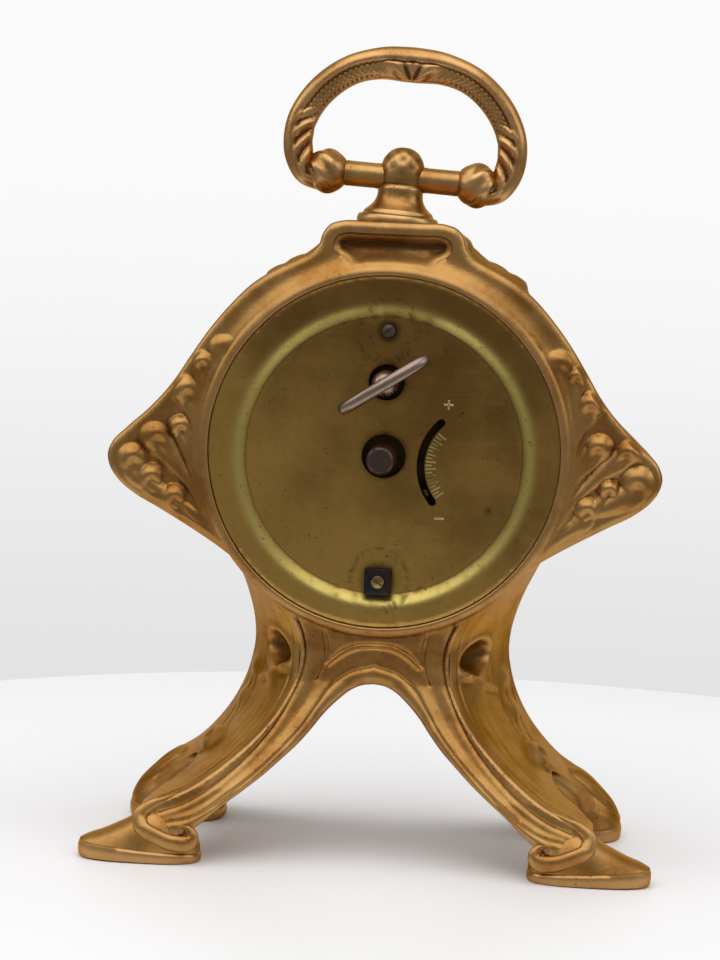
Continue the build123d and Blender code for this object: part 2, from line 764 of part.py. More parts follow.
def pallet_lever():
    """Lever with two upright pins towards the escape wheel and a fork towards the balance."""
    y_from = front_plate_y + lever_rise
    y_to = y_from + lever_thickness
    to_escape = bearing(lever_place, escape_place)
    to_balance = bearing(lever_place, balance_place)
    body = on_axis(lever_place, y_from, y_to, lever_hub_radius)
    for side in (lever_pin_spread, -lever_pin_spread):
        body += strip(lever_place, to_escape + side, lever_arm, lever_arm_width, y_from, y_to)
        spot = around(lever_place, to_escape + side, lever_arm - lever_pin_radius)
        body += on_axis(spot, y_from - lever_pin_length, y_to, lever_pin_radius)
    body += strip(lever_place, to_balance, lever_fork_length, lever_arm_width, y_from, y_to)
    body += on_axis(lever_place, front_plate_y + shroud_thickness, rear_plate_y - shroud_thickness, train_arbor_radius)
    return body + on_axis(lever_place, front_plate_face_y, rear_plate_back_y, pivot_radius)


def balance_wheel():
    """Rim, two arms and a hub."""
    y_from = front_plate_y + balance_rise
    y_to = y_from + balance_thickness
    wheel = on_axis(balance_place, y_from, y_to, balance_radius)
    wheel -= on_axis(balance_place, y_from, y_to, balance_radius - balance_rim_width)
    inside = 2 * balance_radius - balance_rim_width
    wheel += strip(around(balance_place, 180, inside / 2), 0, inside, balance_spoke_width, y_from, y_to)
    wheel += on_axis(balance_place, y_from, y_to, balance_hub_radius)
    return wheel - on_axis(balance_place, y_from, y_to, staff_radius)


def balance_staff():
    """Staff with a point at each end in the cupped screws."""
    shoulder = shroud_thickness
    body = on_axis(balance_place, front_plate_y + shoulder, rear_plate_y - shoulder, staff_radius)
    depth = balance_screw_cup_depth - pivot_clearance
    return body + on_axis(balance_place, front_plate_y - depth, rear_plate_y + depth, staff_point_radius)


def regulator():
    """Flat arm that turns on the rear balance screw, with a tab through the cover's slot."""
    y_from = rear_plate_back_y + regulator_lift
    y_to = y_from + regulator_thickness
    turn = regulator_rest_bearing
    hole = balance_screw_radius + pivot_clearance
    body = on_axis(balance_place, y_from, y_to, regulator_ring_radius)
    reach = regulator_reach + regulator_tab_depth / 2
    body += strip(balance_place, turn, reach, regulator_arm_width, y_from, y_to)
    body += strip(around(balance_place, turn, reach - regulator_tab_depth), turn, regulator_tab_depth,
                  regulator_tab_width, y_from, regulator_tab_y)
    return body - on_axis(balance_place, rear_plate_back_y, regulator_tab_y, hole)


def centre_arbor():
    """Long arbor that carries the minute hand in front and the setting knob behind."""
    return on_axis((0, 0), front_plate_face_y - arbor_front_drop, knob_y[1] - knob_chamfer, centre_arbor_radius)


def set_knob():
    """Plain round setting knob with a chamfered end."""
    knob = on_axis((0, 0), *knob_y, knob_radius)
    knob = chamfer(knob.edges().group_by(Axis.Y)[-1], knob_chamfer)
    return knob - on_axis((0, 0), knob_y[0], knob_y[1] - knob_chamfer, centre_arbor_radius)


def motion_span(drop):
    """Depths of a motion-work wheel in front of the front plate."""
    return front_plate_face_y - drop - motion_thickness, front_plate_face_y - drop


def cannon_pinion():
    """Pinion and pipe fixed on the centre arbor in front of the plate."""
    middle = (0, 0)
    to_wheel = bearing(middle, minute_wheel_place)
    step = 360 / cannon_leaves
    body = toothed(middle, cannon_leaves, motion_module, to_wheel + step / 2, *motion_span(motion_first_drop))
    pipe_end_y = front_plate_face_y - minute_hand_drop
    body += on_axis(middle, pipe_end_y, front_plate_face_y - motion_first_drop, cannon_pipe_radius)
    return body - on_axis(middle, pipe_end_y, front_plate_face_y, centre_arbor_radius)


def minute_wheel():
    """Wheel and pinion on the post of the front plate."""
    place = minute_wheel_place
    to_centre = bearing(place, (0, 0))
    body = toothed(place, minute_wheel_teeth, motion_module, to_centre, *motion_span(motion_first_drop))
    step = 360 / minute_pinion_leaves
    low_y = motion_span(motion_second_drop)[0]
    high_y = front_plate_face_y - motion_first_drop
    body += toothed(place, minute_pinion_leaves, motion_module, to_centre + step / 2, low_y, high_y - motion_thickness)
    return body - on_axis(place, low_y, high_y, minute_post_radius + pivot_clearance)


def hour_wheel():
    """Wheel and pipe that ride on the cannon pinion."""
    middle = (0, 0)
    to_wheel = bearing(middle, minute_wheel_place)
    body = toothed(middle, hour_wheel_teeth, motion_module, to_wheel, *motion_span(motion_second_drop))
    pipe_end_y = front_plate_face_y - hour_hand_drop - hand_thickness
    pipe_start_y = front_plate_face_y - motion_second_drop
    body += on_axis(middle, pipe_end_y, pipe_start_y, hour_pipe_radius)
    return body - on_axis(middle, pipe_end_y, pipe_start_y, cannon_pipe_radius + pivot_clearance)


def hour_hand():
    """Short hand on the hour pipe."""
    back_y = front_plate_face_y - hour_hand_drop
    return hand(hour_hand_length, hour_hand_bearing, back_y - hand_thickness, back_y, hour_pipe_radius)


def minute_hand():
    """Long hand on the centre arbor."""
    back_y = front_plate_face_y - minute_hand_drop
    return hand(minute_hand_length, minute_hand_bearing, back_y - hand_thickness, back_y, centre_arbor_radius)


def dial():
    """Thin dial with two feet pinned into the front plate."""
    back_y = front_plate_face_y - dial_drop
    plate = on_axis((0, 0), back_y - dial_thickness, back_y, dial_radius)
    plate -= on_axis((0, 0), back_y - dial_thickness, back_y, dial_hole_radius)
    for angle in dial_foot_bearings:
        plate += on_axis(around((0, 0), angle, dial_foot_offset), back_y, front_plate_y, dial_foot_radius)
    return plate


def bezel():
    """Ring with a skirt on the dial, a flange on the case and a lip in front of the glass."""
    dial_face_y = front_plate_face_y - dial_drop - dial_thickness
    skirt_inner = bezel_skirt_radius - bezel_skirt_sheet
    section = [(skirt_inner, dial_face_y), (bezel_skirt_radius, dial_face_y), (bezel_skirt_radius, bezel_seat_y),
               (bezel_flange_radius, bezel_seat_y), (bezel_flange_radius, (bezel_seat_y + bezel_front_y) / 2),
               (bezel_skirt_radius, bezel_front_y), (bezel_lip_radius, bezel_front_y), (bezel_lip_radius, glass_y[0]),
               (skirt_inner, glass_y[0])]
    face = make_face(Polyline(*section, close=True))
    return Pos(0, 0, movement_z) * revolve(face, axis=Axis.Y)


def glass():
    """Flat clock glass in the bezel."""
    return on_axis((0, 0), *glass_y, glass_radius)


rear_casting, front_casting = castings()
middle = (0, 0)
mainspring_span = [front_plate_y + rise for rise in mainspring_rises]
hairspring_span = [front_plate_y + hairspring_rise, front_plate_y + hairspring_rise + hairspring_height]
pieces = {
    "rear_casting": rear_casting,
    "front_casting": front_casting,
    "handle_post": handle_post(),
    "handle_rod": handle_rod(),
    "handle_bail": handle_bail(),
    "back_cover": back_cover(),
    "clamp_studs": clamp_studs(),
    "square_nut": square_nut(),
    "front_plate": front_plate(),
    "rear_plate": rear_plate(),
    "plate_pillars": plate_pillars(),
    "pillar_nuts": pillar_nuts(),
    "balance_screws": balance_screws(),
    "winding_arbor": winding_arbor(),
    "winding_key": winding_key(),
    "ratchet_wheel": ratchet_wheel(),
    "great_wheel": bored_wheel(winding_place, great_teeth, great_module, bearing(winding_place, middle),
                               great_wheel_rise, winding_arbor_radius + great_bore_clearance),
    "click": click(),
    "click_spring": click_spring(),
    "mainspring": spiral(winding_place, mainspring_inner_radius, mainspring_outer_radius, mainspring_sheet,
                         mainspring_turns, 0, *mainspring_span),
    "centre_wheel": bored_wheel(middle, centre_teeth, centre_module, bearing(middle, third_place),
                                centre_wheel_rise, centre_pipe_radius),
    "centre_pinion": centre_pinion(),
    "third_wheel": bored_wheel(third_place, third_teeth, train_module, bearing(third_place, fourth_place),
                               third_wheel_rise, train_arbor_radius),
    "third_pinion": arbored_pinion(third_place, centre_module, bearing(third_place, middle), third_pinion_rises),
    "fourth_wheel": bored_wheel(fourth_place, fourth_teeth, train_module, bearing(fourth_place, escape_place),
                                fourth_wheel_rise, train_arbor_radius),
    "fourth_pinion": arbored_pinion(fourth_place, train_module, bearing(fourth_place, third_place),
                                    fourth_pinion_rises),
    "escape_wheel": escape_wheel(),
    "escape_pinion": arbored_pinion(escape_place, train_module, bearing(escape_place, fourth_place),
                                    escape_pinion_rises),
    "pallet_lever": pallet_lever(),
    "balance_wheel": balance_wheel(),
    "balance_staff": balance_staff(),
    "hairspring": spiral(balance_place, hairspring_inner_radius, hairspring_outer_radius, hairspring_sheet,
                         hairspring_turns, 0, *hairspring_span),
    "regulator": regulator(),
    "centre_arbor": centre_arbor(),
    "set_knob": set_knob(),
    "cannon_pinion": cannon_pinion(),
    "minute_wheel": minute_wheel(),
    "hour_wheel": hour_wheel(),
    "hour_hand": hour_hand(),
    "minute_hand": minute_hand(),
    "dial": dial(),
    "bezel": bezel(),
    "glass": glass(),
}

os.makedirs("parts", exist_ok=True)
for name, piece in pieces.items():
    export_step(piece, f"parts/{name}.step")
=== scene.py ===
import math

import bmesh
import bpy
import numpy as np
from mathutils import Matrix, Vector, geometry


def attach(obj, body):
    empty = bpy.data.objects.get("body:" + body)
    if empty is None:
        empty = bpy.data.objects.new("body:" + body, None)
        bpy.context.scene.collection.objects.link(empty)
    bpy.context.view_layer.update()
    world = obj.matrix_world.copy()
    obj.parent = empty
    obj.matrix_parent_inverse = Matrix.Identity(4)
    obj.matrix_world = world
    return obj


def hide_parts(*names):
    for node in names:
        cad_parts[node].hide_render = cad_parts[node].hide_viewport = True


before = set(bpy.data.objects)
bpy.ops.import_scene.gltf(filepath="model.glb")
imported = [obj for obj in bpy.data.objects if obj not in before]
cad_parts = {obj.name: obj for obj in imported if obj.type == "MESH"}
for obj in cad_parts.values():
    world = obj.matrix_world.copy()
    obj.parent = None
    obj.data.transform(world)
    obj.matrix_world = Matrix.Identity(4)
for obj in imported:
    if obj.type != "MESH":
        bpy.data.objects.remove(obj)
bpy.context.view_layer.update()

# Rear casting: the winged back half of the case with its drum ring and two rear legs.
# Cast in zinc alloy in one piece with its leaf relief, soldered to the front half and gilt all over;
# the gilding has worn light on the high spots and gone brown in the hollows.

crown_z = 100.3
seam_y = -4.0
drum_centre = np.array([0.0, 64.3])
drum_edge = 29.2
side_knots = [(0, 100.3), (4.5, 100.3), (8.0, 100.25), (10.1, 99.5), (11.1, 98.1), (11.6, 96.5),
              (12.7, 95.2), (15.0, 93.9), (18.3, 92.2), (21.6, 90.0), (25.5, 86.0), (28.6, 82.0),
              (31.2, 78.0), (33.7, 74.0), (37.0, 70.0), (41.0, 66.2), (43.0, 64.1), (43.75, 62.0),
              (43.3, 60.0), (41.9, 58.0), (39.4, 56.0), (35.7, 54.0), (32.1, 52.0), (28.6, 50.0),
              (24.4, 47.5)]
strap_knots = [(20.2, 44.6), (16.3, 41.0), (13.3, 37.0), (12.0, 33.5), (11.9, 29.8), (13.2, 26.0),
               (15.5, 22.2), (19.2, 18.1), (23.6, 14.3), (28.2, 11.2), (32.4, 9.3), (35.0, 7.6)]
flare_knots = [(26.4, 47.5), (25.2, 44.6), (23.5, 41.0), (22.2, 37.4), (21.4, 34.0), (21.2, 31.0),
               (21.8, 27.0), (24.2, 20.8), (27.2, 16.3), (31.0, 12.3), (34.0, 10.2), (36.0, 8.4),
               (36.8, 7.4)]
arch_knots = [(27.4, 4.6), (26.1, 5.6), (24.1, 7.2), (21.8, 9.2), (19.0, 11.4), (16.15, 13.7),
              (13.65, 16.0), (11.35, 18.2), (9.3, 20.6), (7.45, 23.0), (5.2, 25.3), (3.6, 26.6),
              (1.8, 27.45), (0, 27.7)]
leg_levels = [4.6, 7.5, 11.5, 14.5, 18.5, 23.0, 28.0, 33.0, 38.0, 46.0]
rear_depths = [23.9, 22.6, 20.8, 19.0, 16.8, 14.6, 12.6, 11.4, 10.8, 10.5]
front_depths = [-24.0, -23.0, -21.5, -20.0, -18.0, -16.2, -14.8, -14.0, -13.7, -13.5]
side_arch_z = 12.5
side_arch_feet = (17.0, -10.0)


def run_through(knots, step):
    """Evenly spaced points along a smooth line through the knots."""
    knots = np.asarray(knots, float)
    gaps = np.linalg.norm(np.diff(knots, axis=0), axis=1)
    slope = np.gradient(knots, np.concatenate([[0], np.cumsum(gaps)]), axis=0)
    t = np.linspace(0, 1, 30, endpoint=False)[:, None]
    fine = []
    for k, span in enumerate(gaps):
        fine.append((2 * t**3 - 3 * t**2 + 1) * knots[k] + (t**3 - 2 * t**2 + t) * span * slope[k]
                    + (3 * t**2 - 2 * t**3) * knots[k + 1] + (t**3 - t**2) * span * slope[k + 1])
    fine = np.vstack(fine + [knots[-1:]])
    along = np.concatenate([[0], np.cumsum(np.linalg.norm(np.diff(fine, axis=0), axis=1))])
    even = np.linspace(0, along[-1], max(2, int(round(along[-1] / step)) + 1))
    return np.stack([np.interp(even, along, fine[:, k]) for k in range(knots.shape[1])], axis=1)


def gap_to(spots, line):
    """Distance of each spot from a drawn line, and the share of the line's length at its nearest point."""
    best = np.full(len(spots), 1e9)
    share = np.zeros(len(spots))
    lengths = np.linalg.norm(np.diff(line, axis=0), axis=1)
    done = 0.0
    for start, end, length in zip(line[:-1], line[1:], lengths):
        way = end - start
        t = np.clip(((spots - start) @ way) / max(length**2, 1e-12), 0, 1)
        gap = np.hypot(*(spots - start - t[:, None] * way).T)
        near = gap < best
        best[near] = gap[near]
        share[near] = (done + t[near] * length) / lengths.sum()
        done += length
    return best, share


def inside(spots, loop):
    """Whether each spot lies inside a closed outline."""
    x, z = spots.T
    odd = np.zeros(len(spots), bool)
    for (xa, za), (xb, zb) in zip(loop, np.roll(loop, -1, axis=0)):
        rise = zb - za if zb != za else 1e-12
        odd ^= ((za > z) != (zb > z)) & (x < (xb - xa) * (z - za) / rise + xa)
    return odd


def square_to(way):
    """Unit directions to the left of the given ones."""
    return np.stack([-way[:, 1], way[:, 0]], axis=1) / np.linalg.norm(way, axis=1)[:, None]


def ring_loop(centre, radius, steps):
    """A round outline."""
    turn = np.linspace(0, 2 * math.pi, steps, endpoint=False)
    return centre + radius * np.stack([np.cos(turn), np.sin(turn)], axis=1)


def inset(loop, depth):
    """A closed outline drawn in by a small depth."""
    side = square_to(np.roll(loop, -1, axis=0) - np.roll(loop, 1, axis=0))
    area = np.sum(loop[:, 0] * np.roll(loop[:, 1], -1) - loop[:, 1] * np.roll(loop[:, 0], -1))
    return loop + side * depth * np.sign(area)


def filled(loop, holes, spacing, drawn=(), fine=None):
    """Points and triangles that fill an outline round its holes, along drawn lines and finer in a zone."""
    low, high = loop.min(0), loop.max(0)

    def lattice(step):
        rows = []
        for k, z in enumerate(np.arange(low[1], high[1], step * 0.866)):
            x = np.arange(low[0], high[0], step) + step / 2 * (k % 2)
            rows.append(np.stack([x, np.full(len(x), z)], axis=1))
        return np.vstack(rows)

    spots = lattice(spacing)
    if fine:
        closer = lattice(fine[1])
        spots = np.vstack([spots[~fine[0](spots)], closer[fine[0](closer)]])
    spots = spots[inside(spots, loop)]
    for hole in holes:
        spots = spots[~inside(spots, hole)]
    for line in [np.vstack([ring, ring[:1]]) for ring in (loop, *holes)] + list(drawn):
        spots = spots[gap_to(spots, line)[0] > 0.5 * (fine[1] if fine else spacing)]
    points, edges = [], []
    for ring in (loop, *holes):
        first, count = len(points), len(ring)
        edges += [(first + k, first + (k + 1) % count) for k in range(count)]
        points += list(ring)
    points = np.vstack([points, *drawn, spots])
    mesh = geometry.delaunay_2d_cdt([Vector(p) for p in points.tolist()], edges, [], 0, 1e-6)
    flat = np.array([tuple(v) for v in mesh[0]])
    faces = np.array([f for f in mesh[2] if len(f) == 3])
    middle = flat[faces].mean(axis=1)
    keep = inside(middle, loop)
    for hole in holes:
        keep &= ~inside(middle, hole)
    return flat, faces[keep]


def patch(net):
    """Points and four-sided faces of a net of rows."""
    n, m = net.shape[:2]
    index = np.arange(n * m).reshape(n, m)
    faces = np.stack([index[:-1, :-1], index[1:, :-1], index[1:, 1:], index[:-1, 1:]], axis=-1)
    return net.reshape(-1, 3), faces.reshape(-1, 4)


def facing(shell, pull):
    """A shell with its faces turned to the side that pull points to."""
    points, faces = shell
    corner = points[faces[:, :3]]
    across = np.cross(corner[:, 1] - corner[:, 0], corner[:, 2] - corner[:, 0])
    middle = points[faces].mean(axis=1)
    wanted = pull(middle) if callable(pull) else np.asarray(pull, float)
    return (points, faces if (across * wanted).sum() > 0 else faces[:, ::-1])


def mirrored(shell):
    """The same shell on the other side of the clock."""
    points, faces = shell
    return points * [-1, 1, 1], faces[:, ::-1]


def turned(profile, steps=128, share=1.0, start=0.0):
    """A shell of revolution about Y from radius and depth pairs."""
    angle = start + np.linspace(0, 2 * math.pi * share, steps + 1)
    profile = np.asarray(profile, float)
    net = np.stack([profile[:, :1] * np.cos(angle), np.repeat(profile[:, 1:], steps + 1, axis=1),
                    profile[:, :1] * np.sin(angle)], axis=-1)
    return patch(net)


def moved(shell, place):
    """A shell moved by a place in millimetres."""
    return shell[0] + np.asarray(place, float), shell[1]


def put_in(name, data):
    """A new object in the scene."""
    piece = bpy.data.objects.new(name, data)
    bpy.context.scene.collection.objects.link(piece)
    return piece


def object_of(name, shells, sharp=42, tidy=0.004):
    """One mesh object from shells in millimetres, with near points joined and crisp edges kept."""
    mesh = bpy.data.meshes.new(name)
    points, faces, first = [], [], 0
    for shell_points, shell_faces in shells:
        points.append(shell_points)
        faces += (np.asarray(shell_faces) + first).tolist()
        first += len(shell_points)
    mesh.from_pydata((np.vstack(points) * 0.001).tolist(), [], faces)
    work = bmesh.new()
    work.from_mesh(mesh)
    bmesh.ops.remove_doubles(work, verts=work.verts, dist=tidy * 0.001)
    bmesh.ops.dissolve_degenerate(work, edges=work.edges, dist=tidy * 0.0002)
    loose = [v for v in work.verts if not v.link_faces]
    bmesh.ops.delete(work, geom=loose, context="VERTS")
    work.to_mesh(mesh)
    work.free()
    mesh.polygons.foreach_set("use_smooth", [True] * len(mesh.polygons))
    mesh.set_sharp_from_angle(angle=math.radians(sharp))
    return put_in(name, mesh)


def write_mark(piece, name, values):
    """Keeps one number for each point of a piece, for its finish to read."""
    marks = piece.data.attributes.new(name, "FLOAT", "POINT")
    marks.data.foreach_set("value", values.astype(np.float32))


def mark_hollows(piece, full_depth, passes):
    """Writes how far each point lies below (plus) or above (minus) the surface around it."""
    mesh = piece.data
    count = len(mesh.vertices)
    place = np.empty(count * 3)
    mesh.vertices.foreach_get("co", place)
    place = place.reshape(-1, 3) * 1000
    normal = np.empty(count * 3)
    mesh.vertex_normals.foreach_get("vector", normal)
    normal = normal.reshape(-1, 3)
    ends = np.empty(len(mesh.edges) * 2, np.int32)
    mesh.edges.foreach_get("vertices", ends)
    ends = np.vstack([ends.reshape(-1, 2), ends.reshape(-1, 2)[:, ::-1]])
    shared = np.maximum(np.bincount(ends[:, 0], minlength=count), 1)
    soft = place.copy()
    for _ in range(passes):
        soft = np.stack([np.bincount(ends[:, 0], soft[ends[:, 1], k], count) / shared for k in range(3)],
                        axis=1)
    depth = np.clip(((soft - place) * normal).sum(axis=1) / full_depth, -1, 1)
    write_mark(piece, "hollow", depth)


def ease(value, low, high):
    """A smooth step from zero at low to one at high."""
    t = np.clip((value - low) / (high - low), 0, 1)
    return t * t * (3 - 2 * t)


def add_node(tree, kind, values=None, **settings):
    """One shader node, with its settings, and its inputs set or joined by name or number."""
    node = tree.nodes.new(kind)
    for key, value in settings.items():
        setattr(node, key, value)
    for key, value in (values or {}).items():
        if isinstance(value, bpy.types.NodeSocket):
            tree.links.new(value, node.inputs[key])
        else:
            node.inputs[key].default_value = value
    return node


def metal_tree(name):
    """A new metal finish: its tree, shader and the object coordinates its patterns are laid by."""
    finish = bpy.data.materials.new(name)
    finish.use_nodes = True
    tree = finish.node_tree
    shader = tree.nodes["Principled BSDF"]
    shader.inputs["Metallic"].default_value = 1.0
    shader.inputs["Specular Tint"].default_value = (0.80, 0.56, 0.34, 1.0)
    where = add_node(tree, "ShaderNodeTexCoord").outputs["Object"]
    return finish, tree, shader, where


def cloud(tree, where, scale, detail=5.0, rough=0.55, twist=0.0):
    """A soft random pattern between nought and one."""
    return add_node(tree, "ShaderNodeTexNoise", {"Vector": where, "Scale": scale, "Detail": detail,
                                                 "Roughness": rough, "Distortion": twist}).outputs["Fac"]


def ramp(tree, fac, low, high, start=0.0, end=1.0):
    """A value eased between two limits."""
    return add_node(tree, "ShaderNodeMapRange",
                    {"Value": fac, "From Min": low, "From Max": high, "To Min": start, "To Max": end},
                    interpolation_type="SMOOTHSTEP").outputs["Result"]


def sum_of(tree, kind, left, right):
    """Two values brought together by a sum, product or other rule."""
    return add_node(tree, "ShaderNodeMath", {0: left, 1: right}, operation=kind).outputs["Value"]


def blend(tree, fac, under, over):
    """One colour laid over another."""
    mix = add_node(tree, "ShaderNodeMix", {"Factor": fac}, data_type="RGBA")
    for key, value in ((6, under), (7, over)):
        if isinstance(value, bpy.types.NodeSocket):
            tree.links.new(value, mix.inputs[key])
        else:
            mix.inputs[key].default_value = (*value, 1.0)
    return mix.outputs[2]


def marked(tree, name):
    """The number kept on the piece's points under a name."""
    return add_node(tree, "ShaderNodeAttribute", attribute_name=name).outputs["Fac"]


def lay_finish(tree, shader, colour, rough, grain, strength, depth):
    """Joins a colour, a roughness and a fine grain to the shader."""
    tree.links.new(colour, shader.inputs["Base Color"])
    tree.links.new(rough, shader.inputs["Roughness"])
    bump = add_node(tree, "ShaderNodeBump", {"Height": grain, "Strength": strength, "Distance": depth})
    tree.links.new(bump.outputs["Normal"], shader.inputs["Normal"])


def gilt_finish(name, light, warm, brown, roughness, grain):
    """Satin gilding: light and warm gold in clouds, brown in the hollows, pale worn edges, cast grain."""
    finish, tree, shader, where = metal_tree(name)
    hollow = marked(tree, "hollow")
    broad = cloud(tree, where, 130.0, 4.0)
    fine = cloud(tree, where, 900.0, 6.0, 0.65)
    speck = cloud(tree, where, 2300.0, 3.0, 0.7)
    gold = blend(tree, ramp(tree, broad, 0.38, 0.62), light, warm)
    worn = ramp(tree, sum_of(tree, "SUBTRACT", sum_of(tree, "MULTIPLY", fine, 0.5), hollow), 0.45, 1.0)
    gold = blend(tree, sum_of(tree, "MULTIPLY", worn, 0.55), gold,
                 [min(1.0, 1.15 * c + 0.05) for c in light])
    dirt = ramp(tree, sum_of(tree, "ADD", hollow, sum_of(tree, "MULTIPLY", fine, 0.55)), 0.45, 1.05)
    spots = sum_of(tree, "MULTIPLY", ramp(tree, speck, 0.58, 0.70),
                   ramp(tree, broad, 0.40, 0.64, 0.05, 0.80))
    dirt = sum_of(tree, "MAXIMUM", sum_of(tree, "MULTIPLY", dirt, 0.85), spots)
    rough = sum_of(tree, "ADD", ramp(tree, fine, 0.2, 0.8, roughness - 0.05, roughness + 0.07),
                   sum_of(tree, "MULTIPLY", dirt, 0.15))
    height = sum_of(tree, "ADD", sum_of(tree, "MULTIPLY", speck, 0.35), fine)
    lay_finish(tree, shader, blend(tree, dirt, gold, brown), rough, height, grain, 0.00012)
    return finish


gilding = gilt_finish("satin_gilding", (0.43, 0.235, 0.074), (0.325, 0.150, 0.038), (0.055, 0.023, 0.008),
                      0.34, 0.32)
leaf_stems_left = [
    ([(29.0, 68.0), (27.8, 73.0), (26.6, 77.0), (25.9, 79.4)], 2.2),
    ([(29.4, 67.5), (29.6, 72.0), (29.2, 75.0), (29.1, 77.2)], 1.7),
    ([(29.4, 63.0), (29.9, 67.0), (30.6, 70.2), (31.6, 72.6)], 2.3),
    ([(28.2, 55.2), (30.0, 60.0), (31.2, 64.0), (32.4, 66.9)], 1.8),
    ([(26.8, 52.2), (30.2, 57.4), (33.6, 61.8), (36.3, 65.0)], 2.4),
    ([(26.4, 51.0), (32.0, 55.0), (37.2, 58.0), (39.3, 60.0), (39.7, 61.6)], 2.3),
    ([(26.4, 50.6), (31.0, 53.8), (34.9, 56.0), (36.4, 57.4), (36.7, 58.8)], 2.1),
    ([(25.2, 49.4), (28.8, 51.6), (31.4, 53.2), (32.7, 54.6), (32.9, 55.8)], 2.0)]
leaf_stems_right = [
    ([(-28.8, 68.0), (-28.2, 72.5), (-27.2, 76.4), (-26.7, 79.1)], 2.4),
    ([(-29.4, 67.5), (-29.8, 72.0), (-29.4, 75.2), (-29.6, 77.5)], 1.7),
    ([(-29.4, 63.0), (-29.8, 66.6), (-30.8, 70.2), (-32.0, 73.1)], 2.1),
    ([(-28.2, 56.5), (-29.8, 60.6), (-31.8, 64.0), (-33.7, 66.5)], 2.2),
    ([(-26.8, 53.0), (-30.8, 58.6), (-35.0, 63.0), (-38.4, 65.8)], 2.1),
    ([(-26.4, 51.4), (-32.0, 55.6), (-37.2, 58.4), (-39.4, 60.0), (-39.8, 61.4)], 2.6),
    ([(-26.6, 51.0), (-30.6, 54.6), (-33.8, 57.2), (-35.1, 58.6), (-35.4, 60.0)], 1.8),
    ([(-25.2, 49.6), (-28.4, 52.2), (-30.9, 54.2), (-32.0, 55.6), (-32.2, 56.8)], 2.0)]
cut_lines = [
    ([(20.6, 46.3), (16.6, 42.6), (13.2, 38.6), (11.2, 34.2), (10.9, 31.4), (11.4, 28.4), (12.7, 25.2),
      (14.7, 21.6), (17.7, 17.6), (21.2, 14.0), (25.0, 10.9), (28.7, 8.8), (31.8, 7.7)], 0.26, 0.32),
    ([(0, 30.5), (3.9, 29.3), (6.7, 27.1), (8.7, 24.1), (10.7, 21.1), (13.4, 17.9), (16.8, 14.5),
      (20.4, 11.3), (23.9, 8.6), (27.0, 7.0), (30.5, 6.2)], 0.24, 0.26),
    ([(9.3, 39.2), (8.4, 35.6), (7.9, 32.6), (8.0, 30.9), (8.9, 28.2)], 0.24, 0.26),
    ([(8.5, 39.0), (7.7, 35.6), (7.25, 32.8), (7.4, 31.4)], 0.20, 0.20),
    ([(7.5, 30.9), (5.3, 32.75), (3.2, 33.75), (0, 34.1)], 0.24, 0.26),
    ([(7.1, 30.5), (5.0, 32.1), (3.0, 33.05), (0, 33.4)], 0.20, 0.20)]
flank = run_through(side_knots + strap_knots, 0.45)
strap_from = int(np.argmin(np.hypot(*(flank - side_knots[-1]).T)))
arch = run_through(arch_knots, 0.45)
toe_end = np.array([(35.0, 6.2), (34.4, 4.9), (32.0, 4.6), (28.8, 4.6)])


def whole_loop(half):
    """A closed outline from its half on the +X side."""
    return np.vstack([half, half[-2:0:-1] * [-1, 1]])


def leaf_rise(spots, stems):
    """Height of the leaf over its field: tapering stems that swell into hooded, hollowed tips."""
    rise = np.zeros(len(spots))
    for knots, tip in stems:
        stem = run_through(knots, 0.3)
        near = np.flatnonzero(np.hypot(*(spots - stem.mean(axis=0)).T) < 17)
        spot = spots[near]
        gap, share = gap_to(spot, stem)
        half = 0.75 + (0.92 * tip - 0.75) * ease(share, 0.30, 0.95)
        ridge = (0.22 + 0.78 * share) * np.clip(1 - (gap / half)**2, 0, 1)
        heading = (stem[-1] - stem[-4]) / np.linalg.norm(stem[-1] - stem[-4])
        away = spot - stem[-1]
        ahead, aside = away @ heading, away @ np.array([-heading[1], heading[0]])
        hood = 1.35 * np.clip(1 - (ahead**2 + aside**2) / (1.06 * tip)**2, 0, 1)
        under = np.where(ahead < -0.55 * tip, (ahead + 0.55 * tip) / (1.10 * tip),
                         (ahead + 0.55 * tip) / (0.55 * tip))
        pit = np.exp(-under**2 - ((aside - 0.12 * tip) / (0.42 * tip))**2)
        rise[near] = np.maximum(rise[near], (ridge**4 + hood**4)**0.25 * (1 - 0.68 * pit))
    return rise


def near_leaf(spots):
    """Whether each spot lies on or beside a leaf."""
    close = np.zeros(len(spots), bool)
    for knots, tip in leaf_stems_left + leaf_stems_right:
        stem = run_through(knots, 0.8)
        close |= gap_to(spots, stem)[0] < 0.5 + tip * 0.85
    return close


rear_half = np.vstack([flank, toe_end, arch])
rear_loop = whole_loop(rear_half)
drum_loop = ring_loop(drum_centre, drum_edge, 400)
panel_half = run_through([(0, 98.4), (5.0, 98.4), (7.6, 98.35), (8.9, 97.75), (9.35, 96.7), (9.15, 95.6),
                          (8.3, 94.8), (7.3, 94.2), (6.85, 93.5), (7.2, 92.9), (8.5, 92.55), (10.2, 91.85),
                          (11.6, 91.0)], 0.25)
panel_loop = whole_loop(np.vstack([panel_half, [(10.5, 89.5), (0.0, 90.5)]]))


def edge_drop(gap, radius):
    """Share by which a rounded edge falls away, one at the edge itself and nought at its radius."""
    return 1 - np.sqrt(np.clip(1 - (1 - np.clip(gap / radius, 0, 1))**2, 0, 1))


